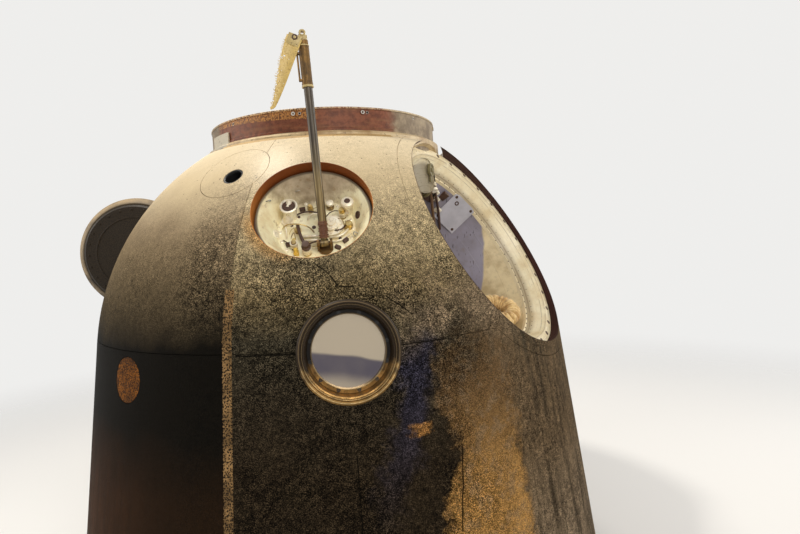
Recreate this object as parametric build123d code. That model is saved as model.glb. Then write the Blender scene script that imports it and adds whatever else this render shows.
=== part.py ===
"""Crew descent capsule, landed and charred, as it stands on its base ring with its heat shield gone.

Millimetres. The origin is the centre of the base ring's underside and +Z points up the capsule's axis.
Azimuths are degrees round the axis from the front (-Y) towards the right (+X). What is on the dome is
set square to it, on an axis through the dome's centre that has an azimuth and an elevation. Distances
along such an axis are called k, and are worked out from the dome's radius and a depth below it.
"""

from build123d import *
import math
import os

os.makedirs("parts", exist_ok=True)

# Outer shape: a cone and a dome that meet without a corner
BASE_R = 1100.0
CONE_ANGLE = 7.0
DOME_Z = 917.4
SEAM_RISE = 13.2
ABLATOR_T = 55.0
HULL_T = 10.0
GAP = 0.3
PANEL_GAP = 2.0

# Large openings in the dome: half their spread in degrees, seen from the dome's centre
RING_SPREAD = 30.0
BAY_SPREAD = 28.326
WELL_SPREAD = 11.3
PORT_PLUG_SPREAD = 7.506
LID_SPREAD = 17.826

TILT = math.radians(CONE_ANGLE)
DOME_R = BASE_R * math.cos(TILT) - DOME_Z * math.sin(TILT)
RING_R = DOME_R * math.sin(math.radians(RING_SPREAD))
BAY_R = DOME_R * math.sin(math.radians(BAY_SPREAD))
WELL_R = DOME_R * math.sin(math.radians(WELL_SPREAD))
PORT_PLUG_R = DOME_R * math.sin(math.radians(PORT_PLUG_SPREAD))
LID_R = DOME_R * math.sin(math.radians(LID_SPREAD))
SEAM_Z = DOME_Z + DOME_R * math.sin(TILT) + SEAM_RISE
HULL_OUT = ABLATOR_T + GAP
HULL_IN = HULL_OUT + HULL_T

# Base frame with the heat shield's bolt holes
FRAME_H = 70.0
FRAME_W = 135.0
FRAME_LEDGE_W = 20.0
FRAME_LIP_H = 22.0
SHIELD_BOLTS = 12
SHIELD_BOLT_R = 9.0
SHIELD_BOLT_DEPTH = 35.0

# Lower bulkhead: a pressed dish that stands on the frame's ledge
BULKHEAD_RISE = 25.0
BULKHEAD_T = 12.0
DISH_MARGIN = 65.0
DISH_SLOPE_W = 350.0
DISH_DROP = 45.0

# Landing engines let into the dish
ENGINES = 6
ENGINE_INSET = 210.0
ENGINE_R = 62.0
ENGINE_FOOT_Z = 36.0
ENGINE_H = 92.0
ENGINE_RIM_W = 10.0
ENGINE_RIM_H = 12.0
NOZZLE_R = 44.0
THROAT_R = 17.0
NOZZLE_DEPTH = 34.0

# Hatch frame on top, its cream step and its yellow seal band
RING_H = 90.9
RING_LIP_H = 7.0
RING_LIP_PROUD = 2.5
RING_FOOT_H = 12.0
RING_FACE_W = 80.0
HATCH_BORE_R = 310.0
SEAT_DROP = 51.0
SEAT_T = 14.0
MOUTH_STEP_W = 22.0
RING_BOLTS = 12
RING_BOLT_R = 5.0
RING_BOLT_DEPTH = 30.0
RING_BOLT_INSET = 47.0
BOSS_R = 8.8
BOSS_PROUD = 4.0
BOSS_DROP = 19.5
SIDE_HOLE_R = 3.8
SIDE_HOLE_DEPTH = 14.0
BOSS_AZIMUTHS = (-13.1, 17.1, 77.0, 137.0, 197.0, 257.0)
SIDE_HOLE_AZIMUTHS = (-45.5, -10.4, 19.4, 46.6, 106.0, 166.0, 226.0, 286.0)
STEP_W = 17.0
STEP_PROUD = 4.0
PAD_ARC = (-65.0, -49.0)
PAD_T = 6.0
PAD_H = 44.0
BAND_W = 22.0
BAND_DEPTH = 30.0
BAND_SINK = 2.0
BAND_ARCS = ((-50.0, 29.0), (121.0, 186.0), (194.0, 302.0))

RING_TOP_Z = DOME_Z + math.sqrt(DOME_R**2 - RING_R**2) + RING_H
HATCH_SEAT_Z = RING_TOP_Z - SEAT_DROP
DOME_MOUTH_R = RING_R + STEP_W + BAND_W + 1.0

# Places on the dome: azimuth and elevation of each axis
BAY_AIM = (53.6, 29.8)
WELL_AIM = (-4.1, 35.3)
PORT_AIM = (-26.8, 44.2)
PORT_PLUG_AIM = (-27.8, 46.0)
WINDOW_AIMS = ((1.7, 7.2), (181.7, 7.2))
RESERVE_AIM = (220.0, 30.0)
VENT_AIMS = ((-43.7, 2.4), (136.3, 2.4))
DRAIN_AIM = (1.3, -6.7)
SCOPE_AIM = (-90.0, 28.72)

# Hatch cover, hinged on the side away from the parachute bay
HATCH_AZ = BAY_AIM[0] + 180.0
HATCH_T = 34.0
HATCH_CLEAR = 12.0
HATCH_DISH = 16.0
HATCH_RIM_W = 50.0
HATCH_RECESS_W = 30.0
HATCH_BOSS_R = 46.0
HATCH_BOSS_H = 9.0
HINGE_OUT = 25.0
HINGE_DROP = 52.0
HINGE_W = 90.0
HINGE_PIN_R = 7.0
HINGE_BARREL_R = 15.0
STRAP_T = 14.0
STRAP_INSET = 6.0
EAR_T = 18.0
EAR_R = 16.0
EAR_SPACE = 9.0
EAR_DEPTH = 42.0
EAR_H = 80.0
WHEEL_R = 105.0
WHEEL_RIM_R = 9.0
WHEEL_DROP = 22.0
WHEEL_HUB_R = 20.0
SPOKES = 3
SPOKE_SECTION = (12.0, 10.0)
RIM_SIDES = 10

# Seams of the cone panels and of the dome panels
CONE_SEAMS = (-19.5, 36.0, 96.0, 150.0, 204.0, 262.0)
DOME_SEAMS = (-19.5, 53.6, 204.0)
FILLER_W = 30.0
FILLER_RISE = 185.0

# Main parachute bay: flange, throat, neck ring and container
BAY_SHIFT = 30.0
SURROUND_W = 50.0
FLANGE_SINK = 40.6
FLANGE_W = 35.0
FLANGE_FOOT = 40.0
FLANGE_T = 16.0
THROAT_DEPTH = 70.0
THROAT_TAPER = 32.0
BAY_WALL_T = 5.0
NECK_RING_W = 22.0
NECK_RING_H = 14.0
NECK_RING_PROUD = 9.0
CONTAINER_DEPTH = 187.0
CONTAINER_TAPER = 59.0
FLOOR_DISH = 22.0
FLOOR_CORNER = 30.0
FLANGE_HOLES = 28
FLANGE_HOLE_R = 4.0
FLANGE_HOLE_DEPTH = 12.0

BAY_FLANGE_K = math.sqrt(DOME_R**2 - BAY_R**2) - FLANGE_SINK
BAY_NECK_K = BAY_FLANGE_K - THROAT_DEPTH
BAY_FLOOR_K = BAY_NECK_K - CONTAINER_DEPTH
BAY_THROAT_R = BAY_R - FLANGE_W
BAY_NECK_R = BAY_THROAT_R - THROAT_TAPER
LINER_R = BAY_NECK_R - NECK_RING_PROUD
CONTAINER_FLOOR_R = LINER_R - CONTAINER_TAPER
LINER_TOP_K = BAY_NECK_K - NECK_RING_H - GAP
CONTAINER_FOOT_K = BAY_FLOOR_K - FLOOR_DISH + BAY_WALL_T
WALL_LEAN = math.degrees(math.atan2(LINER_R - CONTAINER_FLOOR_R, LINER_TOP_K - BAY_FLOOR_K))

# Fittings left in the bay: angle round its wall and depth below the neck
PULLEY_PLACE = (84.0, 40.0)
PULLEY_UP = 46.0
SHEAVE_R = 30.0
SHEAVE_W = 22.0
SHEAVE_HUB_R = 9.0
CHEEK_T = 8.0
CHEEK_R = 22.0
CHEEK_SPACE = 2.0
BRACKET_BASE = (74.0, 60.0, 16.0)
PLATE_PLACE = (40.0, 67.0)
PLATE_SIZE = (130.0, 150.0, 3.0)
PLATE_CLEAR = 1.5
PLATE_STUD_R = 5.0
PLATE_STUD_INSET = 15.0
ROLL_PLACE = (-62.0, 80.0)
ROLL_R = 68.0
ROLL_TUBE_R = 36.0
ROLL_LEAN = 45.0
ROLL_SIDES = 12
HOSE_TOP_PROUD = 3.0
HOSE_BEND_R = 42.0
HOSE_DEPTHS = (30.0, 34.0, 90.0)
HOSE_RUN = 70.0
HOSE_FOOT_RUN = 30.0
HOSE_LEANS = (10.0, 14.0)
# Each hose: x, how far in from the liner it turns down, its radius
HOSES = ((-52.0, 164.0, 11.0), (-82.0, 184.0, 8.0), (-108.0, 154.0, 12.0))

# Antenna well: polished cup with its fittings
CUP_EDGE_W = 7.0
CUP_DEPTH = 142.0
CUP_SLOPE_W = 55.0
CUP_T = 3.0
CUP_RIM_H = 40.0
CUP_DRAIN_R = 6.0

CUP_R = WELL_R - CUP_EDGE_W
CUP_FLOOR_R = CUP_R - CUP_SLOPE_W


def on_floor(x_share, y_share):
    """Place on the cup's floor, from shares of the floor's radius."""
    return (x_share * CUP_FLOOR_R, y_share * CUP_FLOOR_R)


TURRET_PLACE = on_floor(0.385, 0.062)
TURRET_R = 42.0
TURRET_H = 14.0
TURRET_CAP_R = 28.0
TURRET_CAP_H = 26.0
# Lathe-turned connector, leaning towards the top: foot and head in the well, and its outline
CONNECTOR_FOOT = on_floor(-0.738, 0.308)
CONNECTOR_LEAN = (13.0, 45.0, 65.0)
CONNECTOR_OUTLINE = (
    (0.0, 0.0),
    (17.0, 0.0),
    (17.0, 34.0),
    (12.0, 42.0),
    (12.0, 52.0),
    (17.0, 55.0),
    (17.0, 60.0),
    (11.0, 64.0),
    (8.0, 76.0),
    (0.0, 80.0),
)
# Each stub fitting: shares across and up the floor, height, radius, radius of its cap
STUBS = (
    (-0.546, -0.508, 34.0, 11.0, 8.0),
    (-0.223, -0.700, 36.0, 14.0, 10.0),
    (0.677, 0.385, 44.0, 12.0, 8.0),
    (0.831, 0.046, 24.0, 14.0, 11.0),
    (-0.154, 0.646, 30.0, 10.0, 6.0),
    (0.362, 0.708, 20.0, 13.0, 10.0),
    (-0.477, 0.0, 16.0, 12.0, 8.0),
)
STUB_CAP_H = 9.0

# Antenna mast with its fork, sleeve, head and blade
MAST_FOOT = on_floor(0.2308, -0.6)
MAST_PIN_UP = 34.0
MAST_REACH = (-26.0, -5.0, 644.0)
MAST_R = 10.5
KNUCKLE_R = 12.0
KNUCKLE_W = 26.0
FORK_PIN_R = 5.0
FORK_EAR_R = 13.0
FORK_EAR_T = 8.0
FORK_SPACE = 21.0
FORK_LEG_W = 22.0
FORK_FOOT_R = 24.0
FORK_FOOT_H = 10.0
PIN_PLAY = 0.05
SLEEVE_R = 13.5
SLEEVE_SHARE = 0.23
SLEEVE_ROD_R = 3.0
SLEEVE_CLIP_SHARES = (0.14, 0.70)
HEAD_SIZE = (44.0, 16.0, 15.4)
EYE_R = 11.0
EYE_HOLE_R = 5.0
BLADE_PIVOT = (-24.0, 2.0)
BLADE_PIN_R = 4.0
BLADE_PIN_W = 36.0
BLADE_HUB_R = 13.0
BLADE_HUB_T = 7.0
BLADE_OFF = 13.5
BLADE_T = 3.0
BLADE_LEN = 262.0
BLADE_W = 46.0
BLADE_TIP_SHARE = 0.38
BLADE_START_HEADING = -118.0
BLADE_CURL = 22.0
BLADE_STEPS = 6

# Windows: a stepped bezel, the pane and its retainer
PANE_R = 110.0
PANE_T = 14.0
PANE_DEPTH = 68.0
PANE_LAP = 4.0
BEZEL_R = 152.0
BEZEL_PROUD = 4.0
BEZEL_INNER_R = 128.0
BEZEL_SHELF_T = 12.0
RETAINER_W = 13.0
RETAINER_DEPTH = 42.0
# Steps of the bezel's face: how far in from its edge, how far below its face
BEZEL_STEPS = ((0.0, 4.0), (4.0, 0.0), (11.0, 0.0), (13.0, 5.0), (17.0, 5.0), (18.0, 11.0), (22.0, 12.0))

# Periscope housing on the left flank
SCOPE_R = 232.0
SCOPE_SINK = 51.0
SCOPE_HALF_W = 125.0
SCOPE_CHAMFER = 22.0
SCOPE_FACE_T = 16.0
SCOPE_RIM_W = 30.0
SCOPE_FACE_CHAMFER = 8.0
SCOPE_GLASS_SIZE = (12.0, 150.0, 110.0)
SCOPE_GLASS_SINK = 45.0

# Reserve parachute lid at the back
LID_FRAME_W = 26.0
LID_LUG_R = 16.0
LID_LUG_PROUD = 8.0
LID_LUGS = 8

# Small port and plugs
PORT_R = 31.0
PORT_WALL = 5.0
PORT_DEPTH = 60.0
PORT_FLOOR_T = 12.0
PORT_LENS_R = 16.0
PORT_LENS_H = 26.0
VENT_R = 72.0
DRAIN_R = 39.0
PLUG_DEPTH = 40.0

# Cabin: three moulded couches and the instrument console
COUCH_W = 400.0
COUCH_PITCH = 440.0
COUCH_RAIL_W = 280.0
COUCH_RAIL_T = 40.0
COUCH_RAIL_PLACES = (-160.0, 190.0)
COUCH_RAIL_TOP = 225.0
# Side view of a couch: y and z from the head to the knees and back along its underside
COUCH_OUTLINE = (
    (-300.0, 250.0),
    (200.0, 240.0),
    (370.0, 420.0),
    (392.0, 402.0),
    (212.0, 214.0),
    (-320.0, 224.0),
    (-370.0, 300.0),
    (-350.0, 318.0),
)
CONSOLE_SIZE = (60.0, 620.0, 300.0)
CONSOLE_OFF_HULL = 214.7
CONSOLE_RISE = 62.6
CONSOLE_LEAN = -20.0
CONSOLE_ARM = (260.0, 24.0, 60.0)

# Reach of cutting tools beyond the capsule's surface
CUT_IN = 380.0
CUT_OUT = 220.0


def save(name, shape):
    """Writes one node, and says how many solids it has."""
    export_step(shape, f"parts/{name}.step")
    print(name, len(shape.solids()))


def cone_r(z, depth=0.0):
    """Radius of the cone at height z, on a surface that lies depth inside the outer one."""
    return BASE_R - depth / math.cos(TILT) - z * math.tan(TILT)


def dome_point(depth, elevation):
    """Point (radius, height) on the dome, depth inside the outer surface."""
    radius, turn = DOME_R - depth, math.radians(elevation)
    return (radius * math.cos(turn), DOME_Z + radius * math.sin(turn))


def dome_elevation(depth, r=None, z=None):
    """Elevation, seen from the dome's centre, of the dome at radius r or at height z."""
    radius = DOME_R - depth
    if r is not None:
        return math.degrees(math.acos(r / radius))
    return math.degrees(math.asin((z - DOME_Z) / radius))


def dome_arc(depth, low, high):
    middle = (low + high) / 2
    return ThreePointArc(dome_point(depth, low), dome_point(depth, middle), dome_point(depth, high))


def cap_arc(edge_r, edge_z, pole_z):
    """Arc of a sphere centred on the axis, from a rim up or down to the pole."""
    rise = pole_z - edge_z
    radius = (edge_r**2 + rise**2) / (2 * rise)
    bend = radius - math.copysign(math.sqrt(radius**2 - (edge_r / 2) ** 2), radius)
    return ThreePointArc((edge_r, edge_z), (edge_r / 2, pole_z - bend), (0, pole_z))


def joined(shapes):
    """One shape of many solids, fused where they meet."""
    whole = shapes[0]
    for shape in shapes[1:]:
        whole = whole + shape
    return whole


def turned(edges):
    """Solid made by turning a closed outline in the radius and height plane round the Z axis."""
    return revolve(Plane.XZ * make_face(edges), Axis.Z, 360)


def turned_points(*points):
    return turned(Polyline(*points, close=True).edges())


def polygon_ring(radius, tube_r, sides):
    """Ring about the Z axis whose section is a regular polygon."""
    corners = []
    for i in range(sides):
        turn = 2 * math.pi * (i + 0.5) / sides
        corners.append((radius + tube_r * math.cos(turn), tube_r * math.sin(turn)))
    return turned_points(*corners)


def skin(depth_out, depth_in, z_low, r_top):
    """Shell between two surfaces parallel to the capsule's outer one, from z_low up to a mouth."""
    high_out = dome_elevation(depth_out, r=r_top)
    high_in = dome_elevation(depth_in, r=r_top)
    edges = []
    if z_low < dome_point(depth_in, CONE_ANGLE)[1]:
        foot_out = (cone_r(z_low, depth_out), z_low)
        foot_in = (cone_r(z_low, depth_in), z_low)
        edges.append(Line(foot_out, dome_point(depth_out, CONE_ANGLE)))
        edges.append(Line(dome_point(depth_in, CONE_ANGLE), foot_in))
        low_out = low_in = CONE_ANGLE
    else:
        low_out = dome_elevation(depth_out, z=z_low)
        low_in = dome_elevation(depth_in, z=z_low)
        foot_out = dome_point(depth_out, low_out)
        foot_in = dome_point(depth_in, low_in)
    edges += [dome_arc(depth_out, low_out, high_out), dome_arc(depth_in, low_in, high_in)]
    edges.append(Line(dome_point(depth_out, high_out), dome_point(depth_in, high_in)))
    edges.append(Line(foot_in, foot_out))
    return turned(edges)


def aim(azimuth, elevation, shift=0.0):
    """Plane at the dome's centre whose Z axis points out along the given direction, X to the right."""
    a, e = math.radians(azimuth), math.radians(elevation)
    out = Vector(math.cos(e) * math.sin(a), -math.cos(e) * math.cos(a), math.sin(e))
    right = Vector(math.cos(a), math.sin(a), 0)
    return Plane(origin=Vector(0, 0, DOME_Z) + right * shift, x_dir=right, z_dir=out)


def drum(plane, radius, low, high, x=0.0, y=0.0):
    """Cylinder on a plane's Z axis, or beside it, from low to high."""
    return plane * Pos(x, y, (low + high) / 2) * Cylinder(radius, high - low)


def tube(plane, r_out, r_in, low, high):
    return drum(plane, r_out, low, high) - drum(plane, r_in, low - 1, high + 1)


def through(plane, radius):
    """Round cutter along a dome axis, through everything on that side."""
    return drum(plane, radius, DOME_R - CUT_IN, DOME_R + CUT_OUT)


def upright(radius):
    """Cylinder on the capsule's axis, taller than the capsule."""
    return Pos(0, 0, RING_TOP_Z / 2) * Cylinder(radius, 2 * RING_TOP_Z)


def wedge(start, end):
    """Sector between two azimuths, as tall as the capsule."""
    steps = max(2, math.ceil((end - start) / 80))
    reach = BASE_R + CUT_OUT + RING_R
    corners = [(0.0, 0.0)]
    for i in range(steps + 1):
        a = math.radians(start + (end - start) * i / steps)
        corners.append((reach * math.sin(a), -reach * math.cos(a)))
    return Pos(0, 0, -CUT_OUT) * extrude(make_face(Polyline(*corners, close=True)), RING_TOP_Z + 2 * CUT_OUT)


def seam_slot(azimuth, width, top=None):
    """Upright slot that parts two panels at an azimuth, up to a height or all the way."""
    high = RING_TOP_Z + CUT_OUT if top is None else top
    reach = BASE_R + CUT_OUT
    slot = Pos(0, -reach / 2 - HATCH_BORE_R / 2, high / 2) * Box(width, reach - HATCH_BORE_R, high)
    return Rot(0, 0, azimuth) * slot


def neighbours(seams):
    """Each panel's two seams, the last one going round to the first."""
    return zip(seams, (*seams[1:], seams[0] + 360.0))


BAY = aim(*BAY_AIM, shift=BAY_SHIFT)
WELL = aim(*WELL_AIM)
inside_hull = Pos(0, 0, DOME_Z) * Sphere(DOME_R - HULL_IN - GAP)
outside_dome = Pos(0, 0, DOME_Z) * Sphere(DOME_R + GAP)


def holes_in_ablator():
    """Every hole through or into the heat protection."""
    cuts = [through(BAY, BAY_R + SURROUND_W), through(WELL, WELL_R)]
    cuts.append(through(aim(*PORT_PLUG_AIM), PORT_PLUG_R + PANEL_GAP))
    cuts.append(through(aim(*RESERVE_AIM), LID_R + LID_FRAME_W + GAP))
    for place in WINDOW_AIMS:
        cuts.append(through(aim(*place), BEZEL_R + GAP))
    pocket = skin(-PLUG_DEPTH, PLUG_DEPTH, FRAME_H, DOME_MOUTH_R)
    for place in VENT_AIMS:
        cuts.append(pocket & through(aim(*place), VENT_R + PANEL_GAP))
    cuts.append(pocket & through(aim(*DRAIN_AIM), DRAIN_R + PANEL_GAP))
    filler_top = SEAM_Z + FILLER_RISE + GAP
    cuts.append(seam_slot(CONE_SEAMS[0], FILLER_W + 2 * GAP, filler_top))
    return cuts


def save_panels(name, shell, seams, cuts):
    """Parts a shell at its seams, and takes the holes out of each panel."""
    for index, (start, end) in enumerate(neighbours(seams)):
        panel = shell & wedge(start, end)
        for cut in [seam_slot(start, PANEL_GAP), seam_slot(end, PANEL_GAP), *cuts]:
            panel -= cut
        save(f"{name}_{index + 1}", panel)


def make_ablator():
    """Dome and cone panels of the heat protection, the filler of the front seam and the bay's surround."""
    cuts = holes_in_ablator()
    whole = skin(0, ABLATOR_T, FRAME_H + GAP, DOME_MOUTH_R)
    above = Pos(0, 0, SEAM_Z + PANEL_GAP / 2 + RING_TOP_Z / 2) * Cylinder(2 * BASE_R, RING_TOP_Z)
    below = Pos(0, 0, SEAM_Z - PANEL_GAP / 2 - RING_TOP_Z / 2) * Cylinder(2 * BASE_R, RING_TOP_Z)
    save_panels("dome_panel", whole & above, DOME_SEAMS, cuts)
    save_panels("cone_panel", whole & below, CONE_SEAMS, cuts)
    save("seam_filler", whole & seam_slot(CONE_SEAMS[0], FILLER_W, SEAM_Z + FILLER_RISE))
    surround = through(BAY, BAY_R + SURROUND_W - PANEL_GAP) - through(BAY, BAY_R)
    save("bay_surround", whole & surround)


def make_base():
    """Frame ring that the heat shield was bolted to, the lower bulkhead and the landing engines."""
    frame_in_r = BASE_R - FRAME_W
    ledge_r = cone_r(FRAME_H, HULL_IN + FRAME_LEDGE_W)
    bottom = FRAME_H + BULKHEAD_RISE
    frame = turned_points(
        (cone_r(0), 0),
        (cone_r(FRAME_H), FRAME_H),
        (ledge_r, FRAME_H),
        (ledge_r, bottom - GAP),
        (frame_in_r - FRAME_LEDGE_W, bottom - GAP),
        (frame_in_r - FRAME_LEDGE_W, FRAME_LIP_H),
        (frame_in_r, 0),
    )
    bolt = Pos((BASE_R + frame_in_r) / 2, 0, SHIELD_BOLT_DEPTH / 2)
    bolt = bolt * Cylinder(SHIELD_BOLT_R, SHIELD_BOLT_DEPTH)
    for i in range(SHIELD_BOLTS):
        frame -= Rot(0, 0, 360 / SHIELD_BOLTS * (i + 0.5)) * bolt
    save("base_frame", frame)

    rim_r = cone_r(bottom + BULKHEAD_T, HULL_IN + GAP)
    dish_r = frame_in_r - DISH_MARGIN
    flat_r = dish_r - DISH_SLOPE_W
    top = bottom + BULKHEAD_T
    bulkhead = turned_points(
        (rim_r, bottom),
        (rim_r, top),
        (dish_r, top),
        (flat_r, top - DISH_DROP),
        (0, top - DISH_DROP),
        (0, bottom - DISH_DROP),
        (flat_r, bottom - DISH_DROP),
        (dish_r, bottom),
    )
    engine = turned_points(
        (THROAT_R, ENGINE_FOOT_Z + NOZZLE_DEPTH),
        (NOZZLE_R, ENGINE_FOOT_Z),
        (ENGINE_R, ENGINE_FOOT_Z),
        (ENGINE_R, ENGINE_FOOT_Z + ENGINE_RIM_H),
        (ENGINE_R - ENGINE_RIM_W, ENGINE_FOOT_Z + ENGINE_RIM_H + ENGINE_RIM_W / 2),
        (ENGINE_R - ENGINE_RIM_W, ENGINE_FOOT_Z + ENGINE_H),
        (0, ENGINE_FOOT_Z + ENGINE_H),
        (0, ENGINE_FOOT_Z + NOZZLE_DEPTH),
    )
    hole = Pos(0, 0, top) * Cylinder(ENGINE_R - ENGINE_RIM_W + GAP, 2 * ENGINE_H)
    hole += Pos(0, 0, ENGINE_FOOT_Z) * Cylinder(ENGINE_R + GAP, 2 * (ENGINE_RIM_H + ENGINE_RIM_W))
    engines = []
    for i in range(ENGINES):
        place = Rot(0, 0, 360 / ENGINES * i) * Pos(dish_r - ENGINE_INSET, 0, 0)
        engines.append(place * engine)
        bulkhead -= place * hole
    save("lower_bulkhead", bulkhead)
    save("landing_engines", joined(engines))


def make_hull():
    """Pressure hull: one welded shell with the holes for windows, bay, well, reserve lid and port."""
    hull = skin(HULL_OUT, HULL_IN, FRAME_H + GAP, HATCH_BORE_R + HATCH_RECESS_W + HATCH_DISH)
    hull -= through(BAY, BAY_R)
    hull -= through(WELL, CUP_R + GAP)
    hull -= through(aim(*RESERVE_AIM), LID_R + GAP)
    hull -= through(aim(*PORT_AIM), PORT_R + PORT_WALL + GAP)
    for place in WINDOW_AIMS:
        hull -= through(aim(*place), BEZEL_INNER_R + GAP)
    save("pressure_hull", hull)


def make_ring():
    """Hatch frame: a turned ring seated on the hull, with its lip, foot, bosses and bolt holes."""
    recess_r = HATCH_BORE_R + HATCH_RECESS_W
    low = dome_elevation(ABLATOR_T, r=RING_R)
    high = dome_elevation(ABLATOR_T, r=recess_r + HATCH_DISH)
    outer, inner = dome_point(ABLATOR_T, low), dome_point(ABLATOR_T, high)
    side_r = RING_R - RING_LIP_PROUD
    foot_z = RING_TOP_Z - RING_H + RING_FOOT_H
    lip_z = RING_TOP_Z - RING_LIP_H
    outline = (
        outer,
        (RING_R, foot_z),
        (side_r, foot_z + RING_LIP_PROUD),
        (side_r, lip_z - RING_LIP_PROUD),
        (RING_R, lip_z),
        (RING_R, RING_TOP_Z - RING_LIP_PROUD / 2),
        (RING_R - RING_LIP_PROUD / 2, RING_TOP_Z),
        (RING_R - RING_FACE_W, RING_TOP_Z),
        (HATCH_BORE_R + MOUTH_STEP_W, HATCH_SEAT_Z + SEAT_T),
        (HATCH_BORE_R, HATCH_SEAT_Z + SEAT_T),
        (HATCH_BORE_R, HATCH_SEAT_Z),
        (recess_r, HATCH_SEAT_Z),
        (recess_r, inner[1]),
        inner,
    )
    edges = [Line(a, b) for a, b in zip(outline, outline[1:])]
    ring = turned([*edges, dome_arc(ABLATOR_T, low, high)])
    bolt = Pos(RING_R - RING_BOLT_INSET, 0, RING_TOP_Z - RING_BOLT_DEPTH / 2)
    bolt = bolt * Cylinder(RING_BOLT_R, RING_BOLT_DEPTH)
    for i in range(RING_BOLTS):
        ring -= Rot(0, 0, 360 / RING_BOLTS * (i + 0.5)) * bolt
    side = Pos(0, -side_r, RING_TOP_Z - BOSS_DROP) * Rot(90, 0, 0)
    for azimuth in BOSS_AZIMUTHS:
        ring += Rot(0, 0, azimuth) * side * Cylinder(BOSS_R, 2 * BOSS_PROUD)
    for azimuth in SIDE_HOLE_AZIMUTHS:
        ring -= Rot(0, 0, azimuth) * side * Cylinder(SIDE_HOLE_R, 2 * SIDE_HOLE_DEPTH)
    save("hatch_ring", ring)


def make_step_and_band():
    """Cream step round the hatch frame with its pad, and the seal band in its groove outside it."""
    step_in, step_out = RING_R + BOSS_PROUD + GAP, RING_R + STEP_W
    band_in, band_out = step_out + GAP, step_out + BAND_W
    bay_cut = through(BAY, BAY_R + SURROUND_W)
    step = skin(-STEP_PROUD, ABLATOR_T, SEAM_Z, RING_R) & (upright(step_out) - upright(RING_R + GAP))
    pad_foot_z = RING_TOP_Z - RING_H
    pad = Cylinder(RING_R + GAP + PAD_T, PAD_H) - Cylinder(RING_R + GAP, 2 * PAD_H)
    pad = (Pos(0, 0, pad_foot_z + PAD_H / 2) * pad) & wedge(*PAD_ARC)
    save("ring_step", step - through(BAY, BAY_R) + pad)

    space = upright(band_out) - upright(band_in)
    band = skin(BAND_SINK, BAND_DEPTH, SEAM_Z, step_in) & space
    groove = skin(BAND_DEPTH + GAP, ABLATOR_T, SEAM_Z, step_in) & space
    stretches = [band & wedge(start, end) for start, end in BAND_ARCS]
    save("seal_band", joined(stretches) - bay_cut)
    save("band_groove", groove - bay_cut)


def make_hatch():
    """Round hatch that seats up against its frame from inside, with its hinge strap and handwheel."""
    r = HATCH_BORE_R + HATCH_RECESS_W - HATCH_CLEAR
    top = HATCH_SEAT_Z - GAP
    low = top - HATCH_T
    dish = [
        Line((0, top + HATCH_BOSS_H), (HATCH_BOSS_R, top + HATCH_BOSS_H)),
        Line((HATCH_BOSS_R, top + HATCH_BOSS_H), (HATCH_BOSS_R, top)),
        Line((HATCH_BOSS_R, top), (r, top)),
        Line((r, top), (r, low)),
        Line((r, low), (r - HATCH_RIM_W, low)),
        cap_arc(r - HATCH_RIM_W, low, low + HATCH_DISH),
        Line((0, low + HATCH_DISH), (0, top + HATCH_BOSS_H)),
    ]
    save("hatch_cover", turned(dish))

    wheel_z = low - WHEEL_DROP
    hub_top, hub_foot = low + HATCH_DISH - GAP, wheel_z - WHEEL_RIM_R
    wheel = Pos(0, 0, wheel_z) * polygon_ring(WHEEL_R, WHEEL_RIM_R, RIM_SIDES)
    wheel += Pos(0, 0, (hub_top + hub_foot) / 2) * Cylinder(WHEEL_HUB_R, hub_top - hub_foot)
    for i in range(SPOKES):
        wheel += Rot(0, 0, 360 / SPOKES * i) * Pos(WHEEL_R / 2, 0, wheel_z) * Box(WHEEL_R, *SPOKE_SECTION)
    save("hatch_handwheel", wheel)

    pin_r = HATCH_BORE_R + HATCH_RECESS_W + HINGE_OUT
    pin_z = low - HINGE_DROP
    hinge = Rot(0, 0, HATCH_AZ) * Pos(0, -pin_r, pin_z)
    across = Rot(0, 90, 0)
    reach = pin_r - (r - HATCH_RIM_W)
    post_w = HATCH_RIM_W - STRAP_INSET
    post_h = low - GAP - pin_z + STRAP_T / 2
    strap = across * Cylinder(HINGE_BARREL_R, HINGE_W)
    strap += Pos(0, reach / 2, 0) * Box(HINGE_W, reach, STRAP_T)
    strap += Pos(0, reach - post_w / 2, (post_h - STRAP_T) / 2) * Box(HINGE_W, post_w, post_h)
    strap -= across * Cylinder(HINGE_PIN_R + PIN_PLAY, HINGE_W + 2)
    save("hatch_strap", hinge * strap)

    ear_x = HINGE_W / 2 + EAR_SPACE + EAR_T / 2
    bracket = across * Cylinder(HINGE_PIN_R, 2 * ear_x + EAR_T)
    for side in (-1, 1):
        bracket += Pos(side * ear_x, 0, 0) * across * Cylinder(EAR_R, EAR_T)
        bracket += Pos(side * ear_x, 0, EAR_H / 2) * Box(EAR_T, EAR_DEPTH, EAR_H)
    save("hatch_bracket", (hinge * bracket) & inside_hull)


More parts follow.
